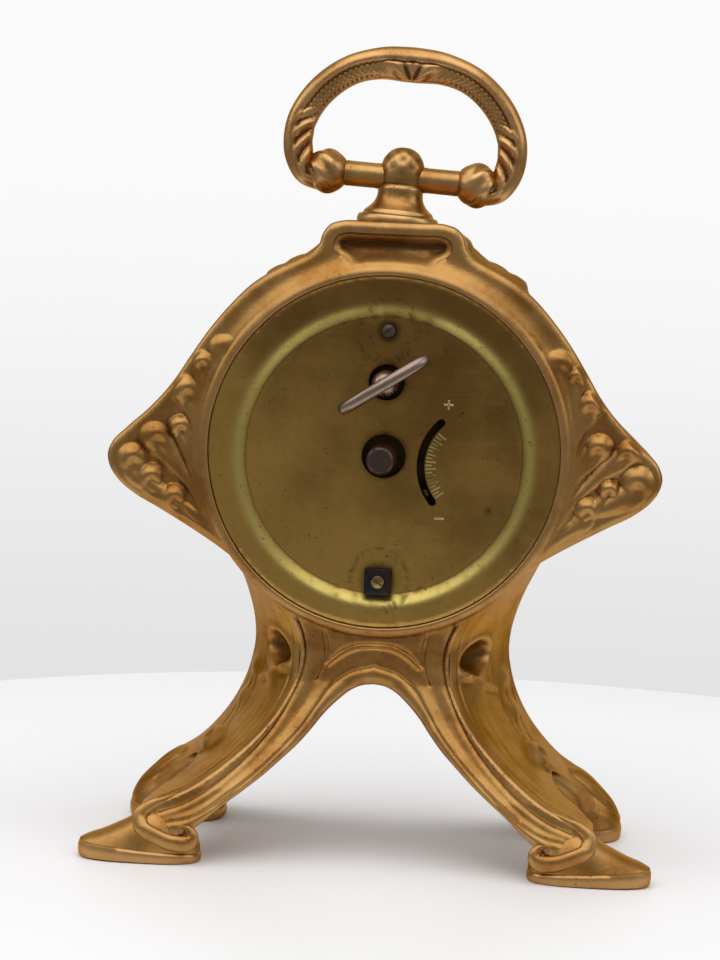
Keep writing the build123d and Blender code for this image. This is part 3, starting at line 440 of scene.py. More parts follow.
def rear_height(spots):
    """Depth of the rear face: coved wings, scooped crown panel, leaves, apron lines, channelled straps."""
    half = np.abs(spots)
    z = spots[:, 1]
    level = np.interp(z, leg_levels, rear_depths)
    rim = gap_to(half, flank)[0]
    edge = gap_to(half, arch)[0]
    ring = np.maximum(np.hypot(*(spots - drum_centre).T) - drum_edge, 0)
    wing = ease(z, 44, 52)
    level -= 0.40 * wing * (1 - np.exp(-(rim / 3.4)**2))
    level += (leaf_rise(spots, leaf_stems_left) + leaf_rise(spots, leaf_stems_right)) * ease(rim, 0.2, 1.2)
    into = np.where(inside(spots, panel_loop), gap_to(half, panel_half)[0], 0)
    fade = 1 - ease(half[:, 0], 8.0, 11.2) * (1 - ease(z, 93.6, 94.4))
    scoop = ease(into, 0.2, 1.9) * ease(z, 92.6, 96.6)
    level -= fade * (0.35 * ease(into, 0.0, 0.30) + 1.10 * scoop)
    level += 0.22 * np.exp(-((rim - 0.5) / 0.40)**2) * (1 - ease(z, 42, 48))
    for knots, width, depth in cut_lines:
        gap = gap_to(half, run_through(knots, 0.4))[0]
        level -= depth * np.exp(-(gap / width)**2)
    channel = np.minimum(gap_to(half, run_through(cut_lines[0][0], 0.6))[0],
                         gap_to(half, run_through(cut_lines[1][0], 0.6))[0])
    between = ease(rim, 1.0, 1.6) * ease(edge, 1.2, 1.8) * (1 - ease(z, 24, 31))
    level -= 0.55 * (1 - np.exp(-(channel / 1.6)**2)) * between
    level -= 0.80 * np.clip(1 - edge / 1.6, 0, 1)**1.4
    crown = ease(z, 89, 92) * (1 - ease(half[:, 0], 10, 13))
    level += 0.45 * np.exp(-(ring / 2.5)**2) * (1 - wing)
    level += (11.55 - level) * np.exp(-(ring / (0.5 + 1.1 * wing - 0.2 * crown))**1.5)
    soft = 0.55 + 0.85 * wing
    return level - 0.8 * soft * edge_drop(np.minimum(rim, edge), soft)


def drawn_twice(lines, spread):
    """Each cut line on both sides of the clock, with a point line on each bank of the cut."""
    rows = []
    for knots, width, _ in lines:
        line = run_through(knots, 0.30)
        side = square_to(np.gradient(line, axis=0))
        for shift in (-spread * width, 0, spread * width):
            row = line + side * shift
            row = row[row[:, 0] > 0.12]
            rows += [row, row * [-1, 1]]
    return rows


def clear_of(rows, loop, holes, margin):
    """Drawn rows without the points that lie outside the outline or near its edge."""
    kept = []
    for row in rows:
        good = inside(row, loop) & (gap_to(row, np.vstack([loop, loop[:1]]))[0] > margin)
        for hole in holes:
            good &= ~inside(row, hole) & (gap_to(row, np.vstack([hole, hole[:1]]))[0] > margin)
        kept.append(row[good])
    return [row for row in kept if len(row) > 1]


def wall_net(rear_run, front_run, rear_y, front_y, start, end, columns, relief, crowd=1.0):
    """A side wall between a rear and a front line, from one share of its depth to another, with relief."""
    t = start[:, None] + (end - start)[:, None] * np.linspace(0, 1, columns)**crowd
    y = rear_y[:, None] + (front_y - rear_y)[:, None] * t
    across = np.clip(t, 0, 1)**0.8
    flat = rear_run[:, None, :] + (front_run - rear_run)[:, None, :] * across[:, :, None]
    net = np.stack([flat[..., 0], y, flat[..., 1]], axis=-1)
    down, back = np.gradient(net, axis=0), np.gradient(net, axis=1)
    out = np.cross(back, down)
    out /= np.maximum(np.linalg.norm(out, axis=-1, keepdims=True), 1e-9)
    if (out[..., 0] * net[..., 0]).sum() < 0:
        out = -out
    return net + out * relief(net, rear_y[:, None] - y)[..., None]


flare_line = run_through(flare_knots, 0.45)
front_side = flank.copy()
below = np.arange(len(flank)) >= strap_from
front_side[below, 0] = np.interp(flank[below, 1], flare_line[::-1, 1], flare_line[::-1, 0])
dip = ease(np.arange(len(flank)), strap_from - 28, strap_from) * ~below
front_side += dip[:, None] * [2.0, -0.6]
front_side[below, 1] -= 0.6 * (1 - ease(np.arange(below.sum()), 0, 12))
wall_rear_y = rear_height(flank)
wall_front_y = np.interp(flank[:, 1], leg_levels, front_depths) + 0.5


def arch_mouth(z, foot_y):
    """Depth where the side arch cuts a wall at a height."""
    return seam_y + (foot_y - seam_y) * np.sqrt(np.clip(1 - (z / side_arch_z)**2, 0, 1))


def seam_leaf(y, z):
    """The hollowed leaf over the side arch, and the fine line where the two castings meet."""
    leaf = np.hypot((z - 14.8) / 2.4, (y - seam_y) / 4.8)
    grown = 1.6 * np.exp(-(leaf / 0.85)**4) - 0.8 * np.exp(-(leaf / 0.38)**2)
    return grown * ease(z, side_arch_z, 14.2) - 0.10 * np.exp(-((y - seam_y) / 0.25)**2)


def rear_relief(net, deep):
    """Side scrolls of the rear casting: a deep eye, a curl and a boss below it, and faint flutes."""
    y, z = net[..., 1], net[..., 2]
    eye = np.sqrt(((z - 31.4) / 2.9)**2 + ((deep - 8.7) / 6.4)**2)
    rise = -2.3 * np.clip(1 - eye**2, 0, 1)**1.1 + 0.30 * np.exp(-((eye - 1.14) / 0.24)**2)
    rise += 0.95 * np.exp(-((z - 29.4) / 0.95)**2 - ((deep - 5.4) / 2.6)**2)
    rise += 0.60 * np.exp(-((z - 26.9) / 1.6)**2 - ((deep - 8.0) / 3.6)**2)
    barb = np.abs(z - 27.6 + 0.22 * (deep - 8.0))
    rise += 0.45 * np.exp(-(barb / 0.5)**2) * ease(deep, 7.0, 11.0)
    low = ease(25.5 - z, 0, 3) * ease(z, 9.0, 12.0)
    for line in (4.2, 7.4, 11.0):
        rise -= 0.05 * np.exp(-((deep - line) / 0.45)**2) * low
    rise -= 0.20 * np.exp(-((deep - 1.7) / 0.35)**2) * ease(46 - z, 0, 6)
    return rise + seam_leaf(y, z)


def share_at(y, rear_y, front_y):
    """Share of the wall's depth at a depth."""
    return (rear_y - y) / (rear_y - front_y)


def soffit(outer, inner, bulge):
    """Underside of the side arch between a leg's outer and inner edge, plain or bulged and fluted."""
    t = np.linspace(0, 1, 61)[:, None, None]
    net = (outer + (inner - outer) * t).transpose(1, 0, 2)
    swell = np.sin(math.pi * t[:, 0, 0])**0.7 * (1 + 0.14 * np.cos(t[:, 0, 0] * 2 * math.pi * 6))
    net[..., 1] += bulge * swell[None, :] * ease(side_arch_z - outer[:, 2], 0.3, 3.0)[:, None]
    return patch(net)


def leg_shells(height, near_y, foot_y, columns, relief, pull_y):
    """Walls and undersides of both arches of one casting, on the +X side, run on into the foot."""
    tails = ([(35.2, 5.6), (35.3, 3.6)], [(37.0, 5.6), (37.2, 3.6)], [23.0, 23.4], [-23.0, -23.2],
             [23.0, 23.4] if pull_y > 0 else [-23.0, -23.2])
    runs = (flank, front_side, wall_rear_y, wall_front_y, near_y)
    rear_run, front_run, rear_y, front_y, near_y = [np.concatenate(pair) for pair in zip(runs, tails)]
    stop = np.where(rear_run[:, 1] < side_arch_z, arch_mouth(rear_run[:, 1], foot_y), seam_y)
    near, far = share_at(near_y, rear_y, front_y), share_at(stop, rear_y, front_y)
    low, high = (near, far) if pull_y > 0 else (far, near)
    net = wall_net(rear_run, front_run, rear_y, front_y, low, high, columns, relief,
                   1.25 if pull_y > 0 else 1.0)
    walls = [facing(patch(net), lambda m: (m - [8.0, 0, 64]) * [1, 0, 0.5])]
    arch_y = height(arch)
    arch_stop = np.where(arch[:, 1] < side_arch_z, arch_mouth(arch[:, 1], foot_y), seam_y)
    t = np.linspace(0, 1, 16)
    under = np.stack([np.repeat(arch[:, :1], 16, 1), arch_y[:, None] + (arch_stop - arch_y)[:, None] * t,
                      np.repeat(arch[:, 1:], 16, 1)], axis=-1)
    walls.append(facing(patch(under), lambda m: ([0, 0, 6] - m) * [1, 0, 1]))
    z = np.linspace(side_arch_z, 3.6, 30)
    edge = net[:, -1 if pull_y > 0 else 0]
    order = np.argsort(edge[:, 2])
    outer = np.stack([np.interp(z, edge[order, 2], edge[order, 0]), arch_mouth(z, foot_y), z], axis=1)
    order = np.argsort(arch[:, 1])
    inner = np.stack([np.interp(z, arch[order, 1], arch[order, 0]), arch_mouth(z, foot_y), z], axis=1)
    side_under = soffit(outer, inner, 0.0 if pull_y > 0 else 1.0)
    walls.append(facing(side_under, lambda m: ([30, 0, 0] - m) * [0, 1, 1]))
    return walls


foot_outer_y, foot_inner_y = 25.0, 14.6


def oblong(x_from, x_to, y_from, y_to, z, steps=72, power=3.4):
    """A level rounded-oblong ring."""
    turn = np.linspace(0, 2 * math.pi, steps + 1)
    c, s = np.cos(turn), np.sin(turn)
    x = (x_from + x_to) / 2 + (x_to - x_from) / 2 * np.sign(c) * np.abs(c)**(2 / power)
    y = (y_from + y_to) / 2 + (y_to - y_from) / 2 * np.sign(s) * np.abs(s)**(2 / power)
    return np.stack([x, y, np.full(steps + 1, z)], axis=1)


def foot_shells(heel, toe, inner_y, top_knots, flutes):
    """One rear foot on the +X side: a thick sole and, above it, an instep of the given profile and flutes."""
    sole, middle_y = [], (foot_outer_y + inner_y) / 2
    for z, shrink in ((0.0, 1.6), (0.0, 0.5), (0.2, 0.15), (0.8, 0.0), (1.45, 0.0), (1.9, 0.15), (2.1, 0.5)):
        ring = oblong(heel + shrink, toe - shrink, inner_y + shrink, foot_outer_y - shrink, z, power=2.7)
        ring[:, 2] += 0.055 * (ring[:, 0] - 35.0) * min(1, z)
        sole.append(ring)
    caps = [np.repeat(np.array(ring).mean(axis=0)[None], len(ring), axis=0) for ring in (sole[0], sole[-1])]
    along = np.linspace(0, 1, 81)
    x = heel + 0.2 + (toe - heel - 0.4) * (0.5 - 0.5 * np.cos(math.pi * along))
    top_line = run_through(top_knots, 0.1)
    top = np.interp(x, top_line[:, 0], top_line[:, 1])
    around = np.linspace(0, math.pi, 81)
    breadth = (foot_outer_y - inner_y - 0.4) / 2 * np.sin(math.pi * along)**(2 / 2.7)
    up = np.sin(around)[None, :]**(0.6 if flutes else 0.8)
    waist = 1 - 0.10 * np.sin(math.pi * up) * ease(along, 0.35, 0.6)[:, None]
    groove = flutes * np.cos(around * 15)[None, :] * up * ease(np.sin(math.pi * along), 0.1, 0.6)[:, None]
    base = 1.5 + 0.055 * (x - 35.0)
    aside = middle_y + breadth[:, None] * np.cos(around)[None, :] * waist
    net = np.stack([np.repeat(x[:, None], 81, axis=1), aside,
                    base[:, None] + (top - base)[:, None] * up + groove], axis=-1)
    shells = [patch(np.stack([caps[0], *sole, caps[1]])), patch(net)]
    return [facing(shell, lambda m: m - m.mean(axis=0)) for shell in shells]


def fold_shell():
    """The end of the rear strap: the leg's ridge rolled round into a flat scroll that lies on the foot."""
    fold = run_through([(28.6, 10.7), (31.0, 9.6), (33.2, 8.6), (34.6, 7.3), (34.3, 5.6), (32.0, 4.2),
                        (29.0, 3.3), (27.0, 3.5), (26.4, 4.5), (27.0, 5.5), (28.3, 5.9)], 0.25)
    side = square_to(np.gradient(fold, axis=0))
    t = np.linspace(0, 1, len(fold))
    swell = np.sqrt(ease(t, -0.02, 0.5) * (1 - 0.998 * ease(t, 0.80, 1.0)))
    turn = np.linspace(0, 2 * math.pi, 25)
    across = fold[:, None, :] + side[:, None, :] * (1.30 * swell[:, None] * np.cos(turn))[..., None]
    deep = np.interp(fold[:, 1], [3.3, 4.2, 5.6, 7.3, 8.6, 9.6, 10.7],
                     [24.0, 23.9, 23.6, 22.8, 22.2, 21.6, 21.0])
    y = deep[:, None] + 0.85 * swell[:, None] * np.sin(turn)
    return facing(patch(np.stack([across[..., 0], y, across[..., 1]], axis=-1)),
                  lambda m: m - m.mean(axis=0))


lines = clear_of(drawn_twice(cut_lines, 1.0) + [inset(panel_loop, depth) for depth in (0.0, 0.2, 0.4, 0.6)],
                 rear_loop, [drum_loop], 0.3)
for depth in (0.10, 0.26, 0.50):
    lines.append(inset(rear_loop, depth))
flat, faces = filled(rear_loop, [drum_loop], 0.40, lines, (near_leaf, 0.20))
rear_face = facing((np.stack([flat[:, 0], rear_height(flat), flat[:, 1]], axis=1), faces), (0, 1, 0))
rear_walls = leg_shells(rear_height, wall_rear_y, side_arch_feet[0], 62, rear_relief, 1)
rear_instep = [(25.3, 2.0), (26.2, 4.0), (27.6, 5.6), (29.4, 7.0), (31.2, 8.1), (32.8, 8.5), (34.8, 7.6),
               (36.8, 6.2), (38.9, 5.1), (41.0, 4.1), (43.0, 3.35), (44.5, 2.6)]
rear_feet = foot_shells(25.3, 44.5, foot_inner_y, rear_instep, 0.0) + [fold_shell()]
drum_ring = turned([(drum_edge, 11.55), (28.95, 11.82), (28.6, 12.03), (28.2, 12.15), (27.9, 12.18),
                    (27.7, 12.10), (27.6, 11.9), (27.58, 11.4), (26.0, 11.4), (26.0, 2.0)], 400)
drum_ring = moved(facing(drum_ring, lambda m: m * [0, 1, 0] + [0, 0.2, 0]), (0, 0, drum_centre[1]))
shells = [rear_face, drum_ring]
for shell in rear_walls + rear_feet:
    shells += [shell, mirrored(shell)]
rear_case = object_of("rear_case", shells)
mark_hollows(rear_case, 0.30, 7)
rear_case.data.materials.append(gilding)
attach(rear_case, "case")
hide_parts("rear_casting")

# Front casting: the dial half of the case with the two front legs, cast and gilt like the rear half.
# It carries the bezel seat, leaf scrolls on the shoulders and wings, and meets the rear half at the seam.

bezel_edge = 29.6
front_half = np.vstack([front_side, [(36.4, 6.2), (35.0, 4.9), (32.0, 4.6), (28.8, 4.6)], arch])
front_loop = whole_loop(front_half)
bezel_loop = ring_loop(drum_centre, bezel_edge, 400)
front_stems = []
for side in (1, -1):
    for knots, tip in (([(24.0, 47.5), (30.0, 53.0), (36.5, 58.2), (40.0, 61.5)], 2.6),
                       ([(24.5, 48.5), (29.0, 54.5), (34.0, 60.0), (36.6, 64.6)], 2.3),
                       ([(27.5, 53.0), (30.8, 59.0), (32.4, 64.0), (33.4, 68.4)], 2.2),
                       ([(30.0, 57.5), (31.0, 64.0), (30.8, 69.0), (30.4, 73.4)], 2.1),
                       ([(29.6, 66.0), (28.6, 72.0), (26.6, 76.5), (25.6, 80.2)], 2.2),
                       ([(4.0, 96.4), (8.5, 96.6), (13.4, 93.4), (17.6, 90.6)], 2.2),
                       ([(3.0, 95.6), (5.5, 97.2), (8.4, 97.6)], 1.9),
                       ([(15.5, 43.0), (12.0, 38.5), (13.5, 34.2)], 2.4),
                       ([(6.5, 31.5), (3.8, 33.4), (2.2, 36.0)], 1.8)):
        front_stems.append(([(x * side, z) for x, z in knots], tip))


def front_height(spots):
    """Depth of the front face, growing towards -Y: sunk field, leaves, rimmed edge and grooved straps."""
    half = np.abs(spots)
    z = spots[:, 1]
    level = -np.interp(z, leg_levels, front_depths)
    rim, edge = gap_to(half, front_side)[0], gap_to(half, arch)[0]
    ring = np.hypot(*(spots - drum_centre).T) - bezel_edge
    level -= 0.8 * (1 - np.exp(-(rim / 1.6)**2)) * (1 - np.exp(-np.maximum(ring, 0) / 1.2)) * ease(z, 24, 32)
    level += leaf_rise(spots, front_stems) * ease(ring, 0.0, 0.5)
    level += 0.8 * np.exp(-np.maximum(ring, 0) / 0.6)
    strap = 1 - ease(z, 26, 34)
    level -= 0.35 * np.exp(-((rim - 1.5) / 0.3)**2) * strap
    level -= 0.30 * np.exp(-((edge - 2.0) / 0.3)**2) * strap
    level -= 0.95 * np.clip(1 - edge / 1.5, 0, 1)**1.4
    return -(level - 0.45 * edge_drop(np.minimum(rim, edge), 0.45))


def front_relief(net, deep):
    """Leaves that stand proud of the crown's slopes and the legs, flutes, and the leaf over the side arch."""
    x, y, z = net[..., 0], net[..., 1], net[..., 2]
    rise = np.zeros_like(x)
    for at_x, size in ((12.7, 1.7), (16.2, 1.9), (19.6, 1.6)):
        rise += 1.25 * np.exp(-((x - at_x) / size)**4 - ((y + 8.6) / 3.4)**4) * ease(z, 88, 90)
    for at_z, size in ((26.8, 1.5), (21.6, 1.4)):
        rise += 0.7 * np.exp(-((z - at_z) / size)**2 - ((y + 9.0) / 3.0)**2)
    low = ease(26.5 - z, 0, 3) * ease(z, 9.0, 12.0)
    for line in (19.0, 22.5, 26.5):
        rise -= 0.15 * np.exp(-((deep - line) / 0.5)**2) * low
    return rise + seam_leaf(y, z)


wall_front_y = front_height(front_side)
front_lines = [inset(front_loop, 0.16), inset(front_loop, 0.42)]
flat, faces = filled(front_loop, [bezel_loop], 0.42, front_lines)
front_face = facing((np.stack([flat[:, 0], front_height(flat), flat[:, 1]], axis=1), faces), (0, -1, 0))
front_walls = leg_shells(front_height, wall_front_y, side_arch_feet[1], 36, front_relief, -1)
bezel_seat = turned([(bezel_edge, -12.0), (bezel_edge, -13.9), (29.45, -14.2), (29.2, -14.3), (25.9, -14.3),
                     (25.9, -6.0)], 200)
bezel_seat = moved(facing(bezel_seat, lambda m: m * [0, 1, 0] + [0, -0.2, 0]), (0, 0, drum_centre[1]))
shells = [front_face, bezel_seat]
front_instep = [(25.3, 2.4), (26.2, 5.2), (28.0, 8.4), (30.5, 10.6), (33.0, 11.2), (35.5, 9.9), (38.0, 7.6),
                (39.8, 5.6), (40.9, 3.8), (41.4, 2.6)]
for points, foot_faces in foot_shells(25.3, 41.4, 7.5, front_instep, 0.17):
    shell = (points * [1, -1, 1], foot_faces[:, ::-1])
    shells += [shell, mirrored(shell)]
for shell in front_walls:
    shells += [shell, mirrored(shell)]
front_case = object_of("front_case", shells)
mark_hollows(front_case, 0.26, 7)
front_case.data.materials.append(gilding)
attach(front_case, "case")
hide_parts("front_casting")

# Movement frame and train behind the cover: brass plates, pillars and wheels, steel arbors, pinions, springs.
# They are cut, turned and riveted, and keep their exact solids; only the brass and the grey steel are laid
# on.
# The brass is painted almost black: painted shade for the dim inside of the case seen through the cover's
# holes.


def worked_metal(name, light, dark, roughness, scale):
    """A rubbed metal with cloudy tarnish and fine marks."""
    finish, tree, shader, where = metal_tree(name)
    broad = cloud(tree, where, scale, 5.0)
    fine = cloud(tree, where, scale * 9, 4.0, 0.7)
    tarnish = ramp(tree, sum_of(tree, "ADD", broad, sum_of(tree, "MULTIPLY", fine, 0.35)), 0.58, 0.86)
    rough = ramp(tree, fine, 0.25, 0.75, roughness, roughness + 0.15)
    lay_finish(tree, shader, blend(tree, tarnish, light, dark), rough, fine, 0.15, 0.00005)
    return finish


# Painted shade: the movement brass is made nearly black, standing for the shadow inside the case.
plate_brass_painted_shade = worked_metal("movement_brass_painted_shade", (0.060, 0.042, 0.016), (0.025, 0.016, 0.008), 0.50, 160.0)
train_steel = worked_metal("movement_steel", (0.12, 0.11, 0.10), (0.04, 0.032, 0.026), 0.40, 260.0)
brass_nodes = ["front_plate", "rear_plate", "plate_pillars", "great_wheel", "centre_wheel", "third_wheel",
               "fourth_wheel", "escape_wheel", "ratchet_wheel", "balance_wheel", "cannon_pinion",
               "minute_wheel", "hour_wheel", "regulator"]
steel_nodes = ["pillar_nuts", "balance_screws", "winding_arbor", "click", "click_spring", "mainspring",
               "centre_pinion", "third_pinion", "fourth_pinion", "escape_pinion", "pallet_lever",
               "balance_staff", "hairspring", "centre_arbor"]


def lay_on(node_name, finish):
    """Gives a piece that keeps its solid one finish."""
    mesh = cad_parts[node_name].data
    mesh.materials.clear()
    mesh.materials.append(finish)


for names, finish in ((brass_nodes, plate_brass_painted_shade), (steel_nodes, train_steel)):
    for node_name in names:
        lay_on(node_name, finish)

# Back cover: a pressed brass sheet that lies in the drum ring, with a dished middle held by the two studs.
# Rolled sheet with its lacquer worn off: olive tarnish, brown clouds, dark specks, and scuffs where the nuts
# were turned. Its colour also holds painted light: painted shade darker towards the top and right, a painted
# highlight round the dish's slope, and painted shadow round the studs and the nut.

arbor_z = 63.7
dish_centre = np.array([0.0, arbor_z])
cover_radius, cover_y, dish_depth = 27.45, 12.0, 1.0
dish_floor, dish_brow = 21.7, 24.2
winding_hole = (np.array([0.0, 75.3]), 2.83)
setting_hole = (np.array([0.0, arbor_z]), 3.45)
stud_spots = [np.array([0.0, 83.35]), np.array([0.0, 44.05])]
slot_centre, slot_reach, slot_half = np.array([-14.9, 62.6]), 9.04, 0.62
slot_bearings = (132.0, 219.5)


def slot_loop():
    """Outline of the curved slot, bearings counted counter-clockwise as seen from the back."""
    low, high = (math.radians(b) for b in slot_bearings)
    rows = []
    for radius, turns in ((slot_reach + slot_half, np.linspace(low, high, 40)),
                          (slot_reach - slot_half, np.linspace(high, low, 40))):
        rows.append(np.stack([slot_centre[0] - radius * np.cos(turns),
                              slot_centre[1] + radius * np.sin(turns)], 1))
    caps = []
    for turn, sign in ((high, 1), (low, -1)):
        middle = slot_centre + slot_reach * np.array([-math.cos(turn), math.sin(turn)])
        sweep = np.linspace(0, math.pi, 9)[1:-1]
        around = turn + sign * sweep if sign > 0 else turn + math.pi + sweep
        caps.append(middle + slot_half * np.stack([-np.cos(around), np.sin(around)], axis=1))
    return np.vstack([rows[0], caps[0], rows[1], caps[1]])


def cover_height(spots):
    """Depth of the cover: flat rim, soft brow, crisp dish edge, and the buckles left beside the studs."""
    radius = np.hypot(*(spots - dish_centre).T)
    t = np.clip((radius - dish_floor) / (dish_brow - dish_floor), 0, 1)
    level = cover_y - dish_depth * (1 - ease(t, -0.25, 1.0)) / (1 - ease(0.0, -0.25, 1.0))
    rim = cover_radius - np.hypot(*(spots - drum_centre).T)
    level -= 0.16 * np.clip(1 - rim / 0.35, 0, 1)**2
    for k, stud in enumerate(stud_spots):
        away = np.hypot(*(spots - stud).T)
        level += 0.05 * np.exp(-((away - 3.2) / 1.2)**2) * np.sin(spots[:, 0] * 2.1 + k)
        level -= 0.05 * np.exp(-(away / 1.8)**2)
        level += 0.06 * np.exp(-((away - 6.0) / 1.3)**2) * np.sin(spots[:, 0] * 1.4 + 1.3 * k)
    level += 0.018 * np.sin(spots[:, 0] * 0.31 + 1.0) * np.cos(spots[:, 1] * 0.27)
    for hole, size in (winding_hole, setting_hole):
        level -= 0.07 * np.exp(-np.maximum(np.hypot(*(spots - hole).T) - size, 0) / 0.22)
    return level


cover_holes = [ring_loop(*winding_hole, 72), ring_loop(*setting_hole, 80), slot_loop()]
cover_holes += [ring_loop(stud, 1.1, 36) for stud in stud_spots]
cover_loop = ring_loop(drum_centre, cover_radius, 320)
crease = [ring_loop(dish_centre, radius, 300) for radius in (dish_floor - 0.12, dish_floor,
                                                             dish_floor + 0.15)]
crease += [inset(cover_loop, 0.18)]
flat, faces = filled(cover_loop, cover_holes, 0.46, clear_of(crease, cover_loop, cover_holes, 0.2))
cover_shells = [facing((np.stack([flat[:, 0], cover_height(flat), flat[:, 1]], axis=1), faces), (0, 1, 0))]
for loop in [cover_loop] + cover_holes:
    closed = np.vstack([loop, loop[:1]])
    top = cover_height(closed)
    edge = np.stack([np.stack([closed[:, 0], top - drop, closed[:, 1]], axis=1) for drop in (0.0, 0.5)])
    middle = np.array([*loop.mean(axis=0)])
    sign = 1 if loop is cover_loop else -1
    cover_shells.append(facing(patch(edge), lambda m: sign * (m[:, [0, 2]] - middle)[:, [0, 0, 1]]
                               * [1, 0, 1]))
back_sheet = object_of("back_sheet", cover_shells, sharp=34)
mark_hollows(back_sheet, 0.10, 8)
place = np.array([v.co for v in back_sheet.data.vertices]) * 1000
spot = place[:, [0, 2]]
stain_and_stud_shadow = np.zeros(len(spot))
for (at_x, at_z), size, dark in (((-16.8, 55.9), 0.55, 0.9), ((-21.5, 51.5), 0.4, 0.5),
                                 ((23.4, 48.3), 1.1, 0.75), ((6.5, 41.5), 0.5, 0.5),
                                 ((-9.0, 80.5), 0.4, 0.5), ((14.0, 80.0), 0.5, 0.4)):
    stain_and_stud_shadow = np.maximum(stain_and_stud_shadow, dark * np.exp(-(np.hypot(spot[:, 0] - at_x, spot[:, 1] - at_z) / size)**2))
for k, stud in enumerate(stud_spots):
    away = spot - stud
    reach, turn = np.hypot(*away.T), np.arctan2(away[:, 1], away[:, 0])
    arcs = np.exp(-((reach - 4.6) / 0.13)**2) * (0.5 + 0.5 * np.sin(2.3 * turn + k))
    arcs += np.exp(-((reach - 4.15) / 0.10)**2) * (0.5 + 0.5 * np.sin(3.1 * turn + 2 * k))
    arcs += np.exp(-((reach - 5.1) / 0.10)**2) * (0.5 + 0.5 * np.sin(1.7 * turn + 4 + k))
    stain_and_stud_shadow = np.maximum(stain_and_stud_shadow, 0.75 * np.clip(arcs, 0, 1))
    # A dark disc round each stud, wider round the nut: partly a dark seat, partly painted shadow cast by the
    # stud and the nut.
    stain_and_stud_shadow = np.maximum(stain_and_stud_shadow, (0.85 if k == 0 else 0.55) * np.exp(-(reach / (1.9 if k == 0 else 3.0))**6))
dish = np.hypot(*(spot - dish_centre).T)
# Painted highlight: a band on the dish's sloping brow, later laid in a paler yellow, stands for the bright
# reflection the slope catches.
bright = np.exp(-((dish - 22.9) / 0.9)**2)
# Painted shade: darker towards the top and right of the cover.
painted_shade = np.clip(0.45 + 0.50 * (spot[:, 1] - arbor_z) / 27 - 0.30 * spot[:, 0] / 27, 0, 1)
write_mark(back_sheet, "painted_shade", painted_shade)
write_mark(back_sheet, "bright", bright)
write_mark(back_sheet, "stain_and_stud_shadow", stain_and_stud_shadow)


def cover_finish():
    """Tarnished sheet brass: olive gold, brown clouds, dark specks, hair scratches and the marked stains,
    with painted shade, a painted highlight and painted shadow.
    """
    finish, tree, shader, where = metal_tree("tarnished_sheet")
    stain_and_stud_shadow = marked(tree, "stain_and_stud_shadow")
    hollow = marked(tree, "hollow")
    broad = cloud(tree, where, 60.0, 5.0, 0.6)
    fine = cloud(tree, where, 700.0, 6.0, 0.7)
    speck = cloud(tree, where, 1500.0, 2.0, 0.6)
    stretched = add_node(tree, "ShaderNodeMapping", {"Vector": where, "Rotation": (0.0, 0.5, 0.0),
                                                     "Scale": (60.0, 400.0, 2600.0)}).outputs["Vector"]
    hair = ramp(tree, cloud(tree, stretched, 1.0, 3.0, 0.6), 0.62, 0.72)
    bright = marked(tree, "bright")
    painted_shade = marked(tree, "painted_shade")
    # The brown clouds are mixed with the painted shade, so the cover darkens towards the top and right.
    clouds_and_painted_shade = ramp(tree, sum_of(tree, "ADD", broad, sum_of(tree, "MULTIPLY", painted_shade, 0.55)), 0.50, 1.02)
    brass = blend(tree, clouds_and_painted_shade, (0.47, 0.285, 0.070), (0.215, 0.112, 0.030))
    # Painted highlight: the band round the dish's slope is laid in a paler yellow.
    brass = blend(tree, bright, brass, (0.55, 0.43, 0.125))
    brass = blend(tree, sum_of(tree, "MULTIPLY", ramp(tree, fine, 0.50, 0.75), 0.40), brass,
                  (0.19, 0.105, 0.028))
    brass = blend(tree, sum_of(tree, "MULTIPLY", hair, 0.09), brass, (0.62, 0.50, 0.20))
    spots = ramp(tree, speck, 0.67, 0.74, 0.0, 0.75)
    # The darkest brown takes the real stains and scuffs, the painted shadow round the studs, the specks and
    # the hollows.
    dark = sum_of(tree, "MAXIMUM", sum_of(tree, "MAXIMUM", stain_and_stud_shadow, spots),
                  ramp(tree, hollow, 0.45, 1.0, 0.0, 0.5))
    rough = sum_of(tree, "ADD", ramp(tree, fine, 0.3, 0.75, 0.27, 0.40), sum_of(tree, "MULTIPLY", dark, 0.2))
    height = sum_of(tree, "ADD", fine, sum_of(tree, "MULTIPLY", hair, -0.4))
    lay_finish(tree, shader, blend(tree, dark, brass, (0.045, 0.028, 0.012)), rough, height, 0.16, 0.00006)
    return finish


sheet_brass = cover_finish()
back_sheet.data.materials.append(sheet_brass)
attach(back_sheet, "case")
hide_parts("back_cover")

# Regulator scale: fine strokes pressed into the cover on the inner side of the slot, long and short in turn,
# with a plus and a minus at its ends for faster and slower.


def new_tree(name, sizes):
    """A geometry tree with named sizes and an outlet, and the sockets of its sizes."""
    tree = bpy.data.node_groups.new(name, "GeometryNodeTree")
    for label, kind, value in sizes:
        tree.interface.new_socket(label, in_out="INPUT", socket_type=kind).default_value = value
    tree.interface.new_socket("Geometry", in_out="OUTPUT", socket_type="NodeSocketGeometry")
    inlet = tree.nodes.new("NodeGroupInput")
    outlet = tree.nodes.new("NodeGroupOutput")
    return tree, inlet.outputs, outlet.inputs["Geometry"]


def stood_up(tree, flat_work, place):
    """Work laid out flat, turned upright to face along Y and set in its place."""
    upright = (math.radians(90.0), 0.0, 0.0)
    return add_node(tree, "GeometryNodeTransform", {"Geometry": flat_work, "Rotation": upright,
                                                    "Translation": place}).outputs[0]


def plain_mesh(carrier):
    """The finished mesh of an object that is then put away with its modifier."""
    bpy.context.view_layer.update()
    mesh = bpy.data.meshes.new_from_object(carrier.evaluated_get(bpy.context.evaluated_depsgraph_get()))
    bpy.data.objects.remove(carrier)
    return mesh


